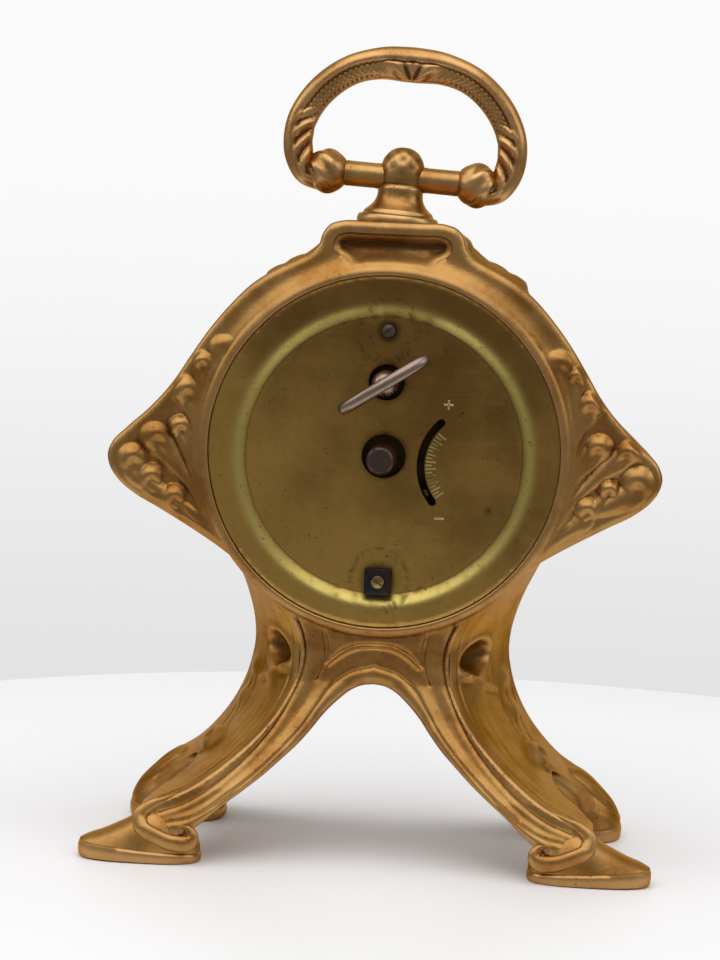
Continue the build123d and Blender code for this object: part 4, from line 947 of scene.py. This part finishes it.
def made_by(name, tree, outlet, geometry_socket, finish):
    """The plain mesh object that a geometry tree gives, its instances made real and its finish set."""
    real = add_node(tree, "GeometryNodeRealizeInstances", {"Geometry": geometry_socket}).outputs[0]
    painted = add_node(tree, "GeometryNodeSetMaterial", {"Geometry": real, "Material": finish}).outputs[0]
    tree.links.new(painted, outlet)
    carrier = put_in(name + "_maker", bpy.data.meshes.new(name + "_maker"))
    carrier.modifiers.new("maker", "NODES").node_group = tree
    mesh = plain_mesh(carrier)
    mesh.name = name
    return put_in(name, mesh)


scale_metal = worked_metal("scale_strokes", (0.62, 0.50, 0.19), (0.30, 0.21, 0.06), 0.30, 500.0)
tree, sizes, outlet = new_tree("regulator_strokes", [
    ("Reach", "NodeSocketFloat", 0.00825), ("Strokes", "NodeSocketInt", 19),
    ("Long stroke", "NodeSocketFloat", 0.0016), ("Short stroke", "NodeSocketFloat", 0.0010),
    ("Stroke width", "NodeSocketFloat", 0.00026)])
arc = add_node(tree, "GeometryNodeCurveArc", {"Resolution": 64, "Radius": sizes["Reach"],
                                              "Start Angle": math.radians(-38.0),
                                              "Sweep Angle": math.radians(76.0)})
points = add_node(tree, "GeometryNodeCurveToPoints", {"Curve": arc.outputs[0], "Count": sizes["Strokes"]},
                  mode="COUNT")
index = add_node(tree, "GeometryNodeInputIndex").outputs[0]
odd = add_node(tree, "ShaderNodeMath", {0: index, 1: 2.0}, operation="MODULO").outputs[0]
span = add_node(tree, "ShaderNodeMapRange", {"Value": odd, "To Min": sizes["Long stroke"],
                                             "To Max": sizes["Short stroke"]})
bar = add_node(tree, "GeometryNodeMeshCube", {"Size": (1.0, 1.0, 1.0)}).outputs[0]
shift = add_node(tree, "GeometryNodeTransform",
                 {"Geometry": bar, "Translation": (-0.5, 0.0, 0.0)}).outputs[0]
size = add_node(tree, "ShaderNodeCombineXYZ",
                {"X": span.outputs[0], "Y": sizes["Stroke width"], "Z": 0.00012}).outputs[0]
normal = add_node(tree, "GeometryNodeInputPosition").outputs[0]
turn = add_node(tree, "FunctionNodeAlignEulerToVector", {"Vector": normal}, axis="X").outputs[0]
strokes = add_node(tree, "GeometryNodeInstanceOnPoints", {"Points": points.outputs[0], "Instance": shift,
                                                          "Rotation": turn, "Scale": size}).outputs[0]
upright = stood_up(tree, strokes, (-0.0149, 0.01103, 0.0626))
scale_strokes = made_by("regulator_scale", tree, outlet, upright, scale_metal)


def bar_box(low, high):
    """A thin stroke with softened edges between two corners."""
    (xa, ya, za), (xb, yb, zb) = low, high
    rows = []
    for y, shrink in ((ya, 0.0), (yb - 0.03, 0.0), (yb, 0.05)):
        rows.append([(xa + shrink, y, za + shrink), (xb - shrink, y, za + shrink),
                     (xb - shrink, y, zb - shrink), (xa + shrink, y, zb - shrink),
                     (xa + shrink, y, za + shrink)])
    net = np.array(rows)
    lid = np.array([[net[-1][0], net[-1][1]], [net[-1][3], net[-1][2]]])
    return [facing(patch(net), lambda m: (m - m.mean(axis=0)) * [1, 0, 1]), facing(patch(lid), (0, 1, 0))]


signs = bar_box((-10.6, 10.95, 72.05), (-9.1, 11.10, 72.35))
signs += bar_box((-10.0, 10.95, 71.45), (-9.7, 11.10, 72.95))
signs += bar_box((-9.9, 10.95, 54.15), (-8.4, 11.10, 54.45))
scale_signs = object_of("regulator_signs", signs)
scale_signs.data.materials.append(scale_metal)
for piece in (scale_strokes, scale_signs):
    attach(piece, "case")

# Studs and nut: two brass studs from the rear plate hold the cover; the lower one has its square blued nut.
# Studs are turned and slotted across the end; the nut is sawn from bar with its edges broken.


def notched_stud(centre, base_y, end_y, radius, turn):
    """A round stud with a domed, slotted end."""
    loop = ring_loop(np.zeros(2), radius, 60)
    drawn = []
    for offset in (-0.24, -0.17, 0.17, 0.24):
        row = np.stack([np.linspace(-0.93, 0.93, 24), np.full(24, offset)], axis=1)
        drawn.append(row[np.hypot(*row.T) < radius - 0.06])
    spot, faces = filled(loop, [], 0.16, drawn)
    dome = end_y - 0.16 * (np.hypot(*spot.T) / radius)**2
    dome -= 0.42 * (1 - ease(np.abs(spot[:, 1]), 0.16, 0.23))
    spin = np.array([[math.cos(turn), -math.sin(turn)], [math.sin(turn), math.cos(turn)]])
    turned_spot = spot @ spin.T
    top = np.stack([centre[0] + turned_spot[:, 0], dome, centre[1] + turned_spot[:, 1]], axis=1)
    rim = np.vstack([loop, loop[:1]])
    rim_y = end_y - 0.16 - 0.42 * (1 - ease(np.abs(rim[:, 1]), 0.16, 0.23))
    rim = rim @ spin.T
    wall = np.stack([np.stack([centre[0] + rim[:, 0], y, centre[1] + rim[:, 1]], axis=1)
                     for y in (rim_y, np.full(len(rim), base_y))])
    out = np.array([centre[0], 0, centre[1]])
    return [facing((top, faces), (0, 1, 0)), facing(patch(wall), lambda m: (m - out) * [1, 0, 1])]


stud_brass = worked_metal("stud_brass", (0.50, 0.36, 0.15), (0.17, 0.10, 0.05), 0.34, 420.0)
stud_pair = object_of("stud_pair", notched_stud(stud_spots[0], 6.9, 12.55, 1.0, math.radians(-30))
                      + notched_stud(stud_spots[1], 6.9, 13.05, 1.0, math.radians(28)))
stud_dark = worked_metal("stud_browned", (0.15, 0.115, 0.09), (0.05, 0.035, 0.025), 0.36, 420.0)
stud_pair.data.materials.append(stud_brass)
stud_pair.data.materials.append(stud_dark)
for face_of_stud in stud_pair.data.polygons:
    face_of_stud.material_index = 1 if face_of_stud.center.z > 0.0637 else 0
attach(stud_pair, "case")
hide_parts("clamp_studs")

nut_rows = []
for y, half in ((11.0, 2.04), (11.12, 2.1), (12.5, 2.1), (12.66, 2.02), (12.7, 1.92), (12.7, 1.12),
                (12.6, 1.0), (11.0, 1.0)):
    turn = np.linspace(0, 2 * math.pi, 65)
    square = half / np.maximum(np.abs(np.cos(turn)), np.abs(np.sin(turn)))
    square = np.minimum(square, half * 1.36)
    reach = square if half > 1.5 else np.full(65, half)
    nut_rows.append(np.stack([reach * np.cos(turn), np.full(65, y),
                              stud_spots[1][1] + reach * np.sin(turn)], axis=1))
nut = object_of("square_nut_worn", [facing(patch(np.array(nut_rows)), lambda m: (m - [0, 11.9, 44.05]))],
                sharp=30)
nut_blue = worked_metal("nut_blueing", (0.030, 0.032, 0.045), (0.055, 0.035, 0.025), 0.30, 380.0)
nut.data.materials.append(nut_blue)
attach(nut, "case")
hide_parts("square_nut")

# Winding key: a steel pipe on the arbor's square with an oval bow bent from wire and brazed to it.
# Turned by hand, so the wire is smooth and bright with warm brown rubbed into its joints.

key_place = np.array([0.0, 75.3])
key_turn = math.radians(33.5)


def steel_finish(name, light, dark, roughness):
    """Handled steel: bright with smudges and small scratches, browned where dirt stays."""
    finish, tree, shader, where = metal_tree(name)
    hollow = marked(tree, "hollow")
    broad = cloud(tree, where, 240.0, 5.0)
    fine = cloud(tree, where, 1900.0, 5.0, 0.7)
    brown = sum_of(tree, "MAXIMUM", ramp(tree, hollow, 0.25, 0.9), ramp(tree, broad, 0.52, 0.78, 0.0, 0.6))
    rough = ramp(tree, fine, 0.25, 0.8, roughness, roughness + 0.16)
    lay_finish(tree, shader, blend(tree, brown, light, dark), rough, fine, 0.12, 0.00004)
    return finish


key_steel = steel_finish("key_steel", (0.29, 0.215, 0.175), (0.11, 0.065, 0.045), 0.24)
pipe = turned([(1.3, 13.0), (1.8, 12.95), (1.95, 13.1), (1.95, 18.4), (1.85, 19.0), (1.5, 19.6), (1.0, 20.1),
               (0.0, 20.3)], 64)
pipe = moved(facing(pipe, lambda m: m - [0, 16, 0]), (key_place[0], 0, key_place[1]))
round_bow = np.linspace(0, 2 * math.pi, 181)
line = np.stack([7.1 * np.cos(round_bow), 20.9 + 2.9 * np.sin(round_bow)], axis=1)
way = np.stack([-7.1 * np.sin(round_bow), 2.9 * np.cos(round_bow)], axis=1)
way /= np.linalg.norm(way, axis=1)[:, None]
wire = np.linspace(0, 2 * math.pi, 33)
out = np.stack([way[:, 1], -way[:, 0]], axis=1)
flat_bow = line[:, None, :] + out[:, None, :] * (0.95 * np.cos(wire))[None, :, None]
lift = 0.95 * np.sin(wire)
net = np.empty((181, 33, 3))
net[..., 0] = key_place[0] + flat_bow[..., 0] * -math.cos(key_turn) + lift * math.sin(key_turn)
net[..., 1] = flat_bow[..., 1]
net[..., 2] = key_place[1] + flat_bow[..., 0] * math.sin(key_turn) + lift * math.cos(key_turn)


def tube(net, core):
    """A shell of a net of rings, its faces turned away from the line through the rings' middles."""
    points, faces = patch(net)
    middle = np.repeat(core, net.shape[1], axis=1).reshape(-1, 3)
    return facing((points, faces), lambda m: m - middle[faces].mean(axis=1))


bow = tube(net, net.mean(axis=1, keepdims=True))
key = object_of("wound_key", [pipe, bow])
mark_hollows(key, 0.12, 6)
key.data.materials.append(key_steel)
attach(key, "winding")
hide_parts("winding_key")

# Setting knob: a plain turned steel stub on the centre arbor that sets the hands.
# Its end is faced off on the lathe, slightly dished, with a bright chamfer.

knob_profile = [(0.9, 12.6), (2.05, 12.6), (2.2, 12.75), (2.2, 21.75), (2.08, 22.05), (1.78, 22.36),
                (1.66, 22.4), (1.2, 22.34), (0.6, 22.30), (0.0, 22.29)]
knob = object_of("turned_knob", [moved(facing(turned(knob_profile, 72), lambda m: m - [0, 17, 0]),
                                       (0, 0, arbor_z))], 26)
mark_hollows(knob, 0.1, 4)
knob_steel = steel_finish("knob_steel", (0.10, 0.070, 0.060), (0.045, 0.028, 0.020), 0.26)
knob.data.materials.append(knob_steel)
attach(knob, "minute")
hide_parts("set_knob")

# Handle post: a turned and gilt post screwed through the crown, flanged at the foot and ending in a ball.
# The handle's cross rod runs through it just under the ball, and the whole post leans a little.

lean = math.radians(3.3)
post_foot = np.array([0.0, -1.5, crown_z])


def tipped(points):
    """Points drawn upright about the post foot, set on the crown with the handle's lean."""
    x, y, z = np.moveaxis(np.asarray(points, float), -1, 0)
    c, s = math.cos(lean), math.sin(lean)
    return np.stack([x * c - z * s, y, x * s + z * c], axis=-1) + post_foot


post_profile = [(0.0, -0.6), (6.2, -0.6), (6.5, -0.1), (6.5, 0.75), (6.3, 1.15), (5.8, 1.32), (5.62, 1.5),
                (5.5, 1.8), (4.9, 2.35), (4.25, 3.0), (3.85, 3.7), (3.66, 4.4), (3.62, 5.0), (3.62, 5.6),
                (3.50, 5.85), (3.34, 6.1), (3.40, 6.6), (3.52, 7.4), (3.55, 8.2), (3.45, 9.2), (3.12, 10.2),
                (2.55, 11.1), (1.8, 11.75), (0.9, 12.1), (0.0, 12.2)]
turn = np.linspace(0, 2 * math.pi, 97)
profile = run_through(post_profile, 0.16)
dents = 0.05 * np.sin(7 * turn)[None, :] * np.sin(profile[:, 1:] * 2.6) * ease(profile[:, 1:], 6.5, 8.5)
radius = np.maximum(profile[:, :1] + dents * (profile[:, :1] > 0.4), 0)
net = np.stack([radius * np.cos(turn), radius * np.sin(turn), np.repeat(profile[:, 1:], 97, axis=1)],
               axis=-1)
points, faces = patch(net)
points, faces = facing((points, faces), lambda m: m - [0, 0, 5])
points = tipped(points)
points[:, 2] = np.maximum(points[:, 2], crown_z - 0.05)
post = object_of("handle_post_turned", [(points, faces)], 34)
mark_hollows(post, 0.10, 10)
rise = np.array([v.co.z for v in post.data.vertices]) * 1000 - crown_z
depth = np.empty(len(rise), np.float32)
post.data.attributes["hollow"].data.foreach_get("value", depth)
depth = np.clip(depth + 0.75 * ease(rise, 5.6, 7.0), -1, 1).astype(np.float32)
post.data.attributes["hollow"].data.foreach_set("value", depth)
post_gilding = gilt_finish("post_gilding", (0.52, 0.310, 0.115), (0.40, 0.205, 0.062),
                           (0.075, 0.032, 0.012), 0.33, 0.35)
post.data.materials.append(post_gilding)
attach(post, "case")
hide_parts("handle_post")

# Handle: a cast bail of scroll outline with a ball on each end, on the cross rod that turns in the post.
# Cast with a smooth outer bead, a stippled inner field, a shell of leaves at the top and twisted leaf ends,
# then gilt.

rod_rise = 7.3
bail_knots = [(0, 18.05), (5.0, 17.85), (9.6, 16.4), (13.2, 13.7), (15.6, 10.6), (16.9, 7.6), (17.2, 4.6),
              (16.7, 1.9), (15.2, -0.4), (12.6, -1.2)]
half_line = run_through(bail_knots, 0.20)
line = np.vstack([half_line[::-1] * [-1, 1], half_line[1:]])
along = np.concatenate([[0], np.cumsum(np.linalg.norm(np.diff(line, axis=0), axis=1))])
from_top = np.abs(along - along[-1] / 2)
reach = along[-1] / 2
out = square_to(np.gradient(line, axis=0))
if (out * (line - [0, 8.0])).sum() < 0:
    out = -out
turn = np.linspace(0, 2 * math.pi, 97)
wide = 2.35 + 0.45 * np.exp(-(from_top / 5.5)**2) - 0.25 * ease(from_top, reach - 8, reach)
deep = 2.1 + 0.25 * np.exp(-(from_top / 5.0)**2) + 0.25 * ease(from_top, reach - 9, reach - 3)
c, s = np.cos(turn)[None, :], np.sin(turn)[None, :]
across = wide[:, None] * c
height = deep[:, None] * np.sign(s) * np.abs(s)**0.8
face = ease(np.abs(s), 0.25, 0.6)
field = 1 - ease(c, 0.00, 0.14)
bead = 0.22 * np.exp(-((c - 0.50) / 0.36)**2) - 0.26 * np.exp(-((c - 0.10) / 0.08)**2)
leaf_end = ease(from_top, reach - 15, reach - 11)[:, None]
leaf_top = np.exp(-(from_top / 5.9)**4)[:, None]
stipple = np.sin(from_top * 2 * math.pi / 0.95)[:, None] * np.sin(across * 2 * math.pi / 0.9)
fan = np.arctan2(np.repeat(line[:, :1], 97, 1), across + wide[:, None] + 0.5)
ribs = 0.16 + 0.26 * np.cos(8.0 * fan) + 0.12 * np.cos(from_top / 5.9 * math.pi)[:, None]
twist = np.cos((from_top[:, None] - across * 1.1) * 2 * math.pi / 2.9)
gadroon = (0.27 * twist + 0.08) * (1 - ease(c, 0.05, 0.50))
plain = (1 - leaf_end) * (1 - leaf_top)
field_lift = plain * (0.09 * stipple - 0.36) + leaf_top * (ribs - 0.1)
lift = face * (bead * (1 - 0.6 * leaf_end) + field * field_lift)
lift = lift + leaf_end * gadroon * (0.45 + 0.55 * face)
way_y = np.sign(s) * np.ones_like(across)
flat_line = line[:, None, :] + out[:, None, :] * (across + lift * 0.25 * c)[..., None]
net = np.stack([flat_line[..., 0], height + lift * way_y, flat_line[..., 1] + rod_rise], axis=-1)
core = np.stack([line[:, 0], np.zeros(len(line)), line[:, 1] + rod_rise], axis=1)[:, None, :]
points, faces = tube(net, core)
bail_shells = [(tipped(points), faces)]
for side in (1, -1):
    tilt, spin = np.meshgrid(np.linspace(0, math.pi, 61), np.linspace(0, 2 * math.pi, 97), indexing="ij")
    gadroon = np.cos(6 * spin + 5.5 * tilt * side)
    ball = 3.50 + 0.17 * gadroon * np.sin(tilt)**1.5 * ease(side * np.cos(tilt), -0.75, 0.1)
    net = np.stack([side * 12.0 + ball * np.cos(tilt), ball * np.sin(tilt) * np.cos(spin),
                    rod_rise + ball * np.sin(tilt) * np.sin(spin)], axis=-1)
    points, faces = patch(net)
    bail_shells.append(facing((tipped(points), faces), lambda m: m - m.mean(axis=0)))
bail = object_of("cast_bail", bail_shells, 50)
mark_hollows(bail, 0.12, 10)
bail_gilding = gilt_finish("bail_gilding", (0.54, 0.305, 0.115), (0.40, 0.205, 0.070),
                           (0.060, 0.026, 0.011), 0.30, 0.30)
bail.data.materials.append(bail_gilding)
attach(bail, "handle")
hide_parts("handle_bail")

rod_profile = [(1.9, -13.6), (1.95, -9.2), (2.05, -8.9), (2.02, -8.5), (2.0, -4.2), (2.06, -3.8),
               (2.06, 3.8), (2.0, 4.2), (2.02, 8.5), (2.05, 8.9), (1.95, 9.2), (1.9, 13.6)]
turn = np.linspace(0, 2 * math.pi, 49)
profile = np.array(rod_profile)
net = np.stack([np.repeat(profile[:, 1:], 49, axis=1), profile[:, :1] * np.cos(turn),
                rod_rise + profile[:, :1] * np.sin(turn)], axis=-1)
points, faces = patch(net)
points, faces = facing((points, faces), lambda m: (m - [0, 0, rod_rise]) * [0, 1, 1])
rod = object_of("cross_rod", [(tipped(points), faces)])
rod.data.materials.append(post_gilding)
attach(rod, "handle")
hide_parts("handle_rod")

# Dial: a thin card-backed metal dial, cream, with black numerals, an outer minute track and a plain centre.
# It is pinned to the front plate; the figures are printed, so they lie flat on it.

dial_y = -11.92


def dial_finish(name, base, stain_colour):
    """Painted card gone uneven with age."""
    finish, tree, shader, where = metal_tree(name)
    shader.inputs["Metallic"].default_value = 0.0
    broad = cloud(tree, where, 90.0, 5.0, 0.6)
    fine = cloud(tree, where, 1600.0, 4.0, 0.6)
    spots = ramp(tree, fine, 0.66, 0.78, 0.0, 0.5)
    aged = sum_of(tree, "MAXIMUM", ramp(tree, broad, 0.45, 0.8, 0.0, 0.5), spots)
    tree.links.new(blend(tree, aged, base, stain_colour), shader.inputs["Base Color"])
    tree.links.new(ramp(tree, fine, 0.3, 0.7, 0.42, 0.58), shader.inputs["Roughness"])
    return finish


dial_paint = dial_finish("dial_paint", (0.80, 0.76, 0.65), (0.55, 0.45, 0.28))
dial_ink = dial_finish("dial_ink", (0.018, 0.016, 0.015), (0.05, 0.04, 0.03))
plate = turned([(2.2, -11.55), (2.2, dial_y + 0.02), (2.3, dial_y), (24.8, dial_y), (25.0, dial_y + 0.1),
                (25.0, -11.55)], 160)
dial_plate = object_of("dial_plate", [moved(facing(plate, lambda m: m * [0, 1, 0] + [0, 11.0, 0]),
                                            (0, 0, arbor_z))])
dial_plate.data.materials.append(dial_paint)
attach(dial_plate, "case")
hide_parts("dial")

tree, sizes, outlet = new_tree("minute_track", [
    ("Track radius", "NodeSocketFloat", 0.0218), ("Minutes", "NodeSocketInt", 60),
    ("Mark length", "NodeSocketFloat", 0.0009), ("Hour length", "NodeSocketFloat", 0.0015),
    ("Mark width", "NodeSocketFloat", 0.00018)])
circle = add_node(tree, "GeometryNodeCurvePrimitiveCircle",
                  {"Resolution": sizes["Minutes"], "Radius": sizes["Track radius"]})
points = add_node(tree, "GeometryNodeCurveToPoints", {"Curve": circle.outputs[0]}, mode="EVALUATED")
index = add_node(tree, "GeometryNodeInputIndex").outputs[0]
fifth = add_node(tree, "ShaderNodeMath", {0: index, 1: 5.0}, operation="MODULO").outputs[0]
plain_mark = add_node(tree, "ShaderNodeMath", {0: fifth, 1: 0.5}, operation="GREATER_THAN").outputs[0]
span = add_node(tree, "ShaderNodeMapRange", {"Value": plain_mark, "To Min": sizes["Hour length"],
                                             "To Max": sizes["Mark length"]})
girth = add_node(tree, "ShaderNodeMapRange", {"Value": plain_mark, "To Min": 2.4, "To Max": 1.0})
width = add_node(tree, "ShaderNodeMath", {0: girth.outputs[0], 1: sizes["Mark width"]},
                 operation="MULTIPLY").outputs[0]
size = add_node(tree, "ShaderNodeCombineXYZ", {"X": span.outputs[0], "Y": width, "Z": 0.00004}).outputs[0]
place = add_node(tree, "GeometryNodeInputPosition").outputs[0]
turn_node = add_node(tree, "FunctionNodeAlignEulerToVector", {"Vector": place}, axis="X").outputs[0]
bar = add_node(tree, "GeometryNodeMeshCube", {"Size": (1.0, 1.0, 1.0)}).outputs[0]
marks = add_node(tree, "GeometryNodeInstanceOnPoints",
                 {"Points": points.outputs[0], "Instance": bar, "Rotation": turn_node,
                  "Scale": size}).outputs[0]
upright = stood_up(tree, marks, (0.0, dial_y * 0.001, 0.0637))
minute_track = made_by("minute_track", tree, outlet, upright, dial_ink)
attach(minute_track, "case")
for hour in range(1, 13):
    angle = math.radians(90 - 30 * hour)
    text = bpy.data.curves.new("numeral_%d" % hour, "FONT")
    text.body = str(hour)
    text.size, text.extrude, text.resolution_u = 0.0062, 0.00002, 3
    text.align_x, text.align_y = "CENTER", "CENTER"
    mesh = plain_mesh(put_in("numeral_maker", text))
    x, z = 0.0178 * math.cos(angle), 0.0637 + 0.0178 * math.sin(angle)
    mesh.transform(Matrix.Translation((x, dial_y * 0.001, z)) @ Matrix.Rotation(math.radians(90), 4, "X"))
    mesh.materials.clear()
    mesh.materials.append(dial_ink)
    numeral = put_in("numeral_%d" % hour, mesh)
    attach(numeral, "case")

# Hands: blued steel spade hands pressed on the hour pipe and the centre arbor.
# They are stamped from sheet, so they keep their flat solids and only get the blueing.

hand_blue = worked_metal("hand_blueing", (0.025, 0.035, 0.085), (0.05, 0.035, 0.05), 0.25, 420.0)
for node_name in ("hour_hand", "minute_hand"):
    lay_on(node_name, hand_blue)

# Bezel and glass: a spun and gilt bezel seated on the case, with a ring of fine beads round a flat glass.
# The beads are rolled in; the glass is held behind the bezel's lip.

bezel_profile = [(24.35, -12.0), (25.15, -12.0), (25.15, -14.28), (28.5, -14.28), (28.6, -14.7),
                 (28.5, -15.4), (28.1, -15.7), (27.5, -15.6), (27.3, -15.5), (26.9, -15.7), (26.4, -16.3),
                 (25.6, -16.8), (24.6, -17.0), (23.9, -16.95), (23.6, -16.7), (23.6, -16.25), (24.3, -16.2),
                 (24.35, -12.0)]
bezel_core, bezel_middle_y = 25.9, -14.6


def from_bezel_core(middle):
    """Directions away from the ring that runs through the bezel's section."""
    pull = bezel_core / np.hypot(middle[:, 0], middle[:, 2])
    deep = np.full(len(middle), bezel_middle_y)
    return middle - np.stack([pull * middle[:, 0], deep, pull * middle[:, 2]], axis=1)


bezel_ring = facing(turned(bezel_profile, 200), from_bezel_core)
bezel = object_of("spun_bezel", [moved(bezel_ring, (0, 0, arbor_z))], 34)
mark_hollows(bezel, 0.12, 8)
bezel.data.materials.append(post_gilding)
tree, sizes, outlet = new_tree("bezel_beads", [
    ("Ring radius", "NodeSocketFloat", 0.0273), ("Beads", "NodeSocketInt", 132),
    ("Bead radius", "NodeSocketFloat", 0.00052)])
circle = add_node(tree, "GeometryNodeCurvePrimitiveCircle",
                  {"Resolution": sizes["Beads"], "Radius": sizes["Ring radius"]})
points = add_node(tree, "GeometryNodeCurveToPoints", {"Curve": circle.outputs[0]}, mode="EVALUATED")
ball = add_node(tree, "GeometryNodeMeshIcoSphere",
                {"Radius": sizes["Bead radius"], "Subdivisions": 2}).outputs[0]
round_ball = add_node(tree, "GeometryNodeSetShadeSmooth", {"Geometry": ball}).outputs[0]
beads = add_node(tree, "GeometryNodeInstanceOnPoints",
                 {"Points": points.outputs[0], "Instance": round_ball}).outputs[0]
upright = stood_up(tree, beads, (0.0, -0.01555, 0.0637))
bezel_beads = made_by("bezel_beads", tree, outlet, upright, post_gilding)
for piece in (bezel, bezel_beads):
    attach(piece, "case")
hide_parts("bezel")

glass_finish = bpy.data.materials.new("clock_glass")
glass_finish.use_nodes = True
shader = glass_finish.node_tree.nodes["Principled BSDF"]
shader.inputs["Base Color"].default_value = (0.96, 0.98, 0.97, 1.0)
shader.inputs["Transmission Weight"].default_value = 1.0
shader.inputs["IOR"].default_value = 1.45
where = add_node(glass_finish.node_tree, "ShaderNodeTexCoord").outputs["Object"]
smear = ramp(glass_finish.node_tree, cloud(glass_finish.node_tree, where, 120.0, 5.0), 0.4, 0.8, 0.0, 0.06)
glass_finish.node_tree.links.new(smear, shader.inputs["Roughness"])
lay_on("glass", glass_finish)

# Stage: a white table under a pale wall, lit by a broad lamp above and two softer ones at the sides,
# with the camera set behind the clock, a little above it, as in the photograph.

table_rows = []
for reach, z in ((0.0, 0.0), (0.05, 0.0), (0.10, 0.0), (0.148, 0.0), (0.1495, -0.0006), (0.150, -0.002),
                 (0.150, -0.012)):
    turn = np.linspace(0, 2 * math.pi, 145)
    table_rows.append(np.stack([-0.013 + reach * np.cos(turn), -0.038 + reach * np.sin(turn),
                                np.full(145, z)], axis=1) * 1000)
floor = object_of("table_top", [facing(patch(np.array(table_rows)), (0, 0, 1))])
table_white = bpy.data.materials.new("table_white")
table_white.use_nodes = True
table_shader = table_white.node_tree.nodes["Principled BSDF"]
table_shader.inputs["Base Color"].default_value = (0.96, 0.955, 0.96, 1.0)
table_shader.inputs["Roughness"].default_value = 0.5
floor.data.materials.append(table_white)

world = bpy.data.worlds.new("studio")
bpy.context.scene.world = world
world.use_nodes = True
sky = world.node_tree
heading = add_node(sky, "ShaderNodeSeparateXYZ",
                   {0: add_node(sky, "ShaderNodeTexCoord").outputs["Generated"]}).outputs
wall = ramp(sky, heading["Z"], -0.18, 0.05, 0.76, 0.955)
overhead = ramp(sky, heading["Z"], 0.25, 0.85, 0.0, 0.30)
room = sum_of(sky, "ADD", ramp(sky, heading["Y"], 0.90, 0.35, 0.30, 0.36), overhead)
behind = ramp(sky, heading["Y"], -0.72, -0.955)
light = sum_of(sky, "ADD", sum_of(sky, "MULTIPLY", wall, behind),
               sum_of(sky, "MULTIPLY", room, sum_of(sky, "SUBTRACT", 1.0, behind)))
sky.links.new(light, sky.nodes["Background"].inputs["Color"])


def soft_lamp(name, place, aim, size, power):
    """A square soft lamp pointed at a spot."""
    lamp = bpy.data.lights.new(name, "AREA")
    lamp.shape, lamp.size, lamp.energy = "SQUARE", size, power
    holder = bpy.data.objects.new(name, lamp)
    holder.location = place
    holder.rotation_euler = (Vector(aim) - Vector(place)).to_track_quat("-Z", "Y").to_euler()
    bpy.context.scene.collection.objects.link(holder)


soft_lamp("lamp_above", (0.05, 0.28, 0.75), (0, 0, 0.05), 1.0, 3.7)
soft_lamp("lamp_left", (0.80, 0.10, 0.55), (0, 0, 0.06), 0.5, 1.0)
soft_lamp("lamp_right", (-0.80, 0.15, 0.50), (0, 0, 0.06), 0.5, 1.0)

camera = bpy.data.cameras.new("photo_camera")
camera.lens, camera.sensor_width, camera.clip_start = 98.1, 36.0, 0.01
viewer = bpy.data.objects.new("photo_camera", camera)
yaw, pitch, roll = math.radians(-3.12), math.radians(4.35), math.radians(2.48)
ahead = Vector((-math.sin(yaw) * math.cos(pitch), -math.cos(yaw) * math.cos(pitch), -math.sin(pitch)))
side = Vector((-math.cos(yaw), math.sin(yaw), 0))
up = side.cross(ahead)
right_way = side * math.cos(roll) + up * math.sin(roll)
up_way = up * math.cos(roll) - side * math.sin(roll)
pose = Matrix((right_way, up_way, -ahead)).transposed().to_4x4()
pose.translation = Vector((-0.01875, 0.41962, 0.09093))
viewer.matrix_world = pose
bpy.context.scene.collection.objects.link(viewer)
bpy.context.scene.camera = viewer
bpy.context.scene.view_settings.view_transform = "Standard"
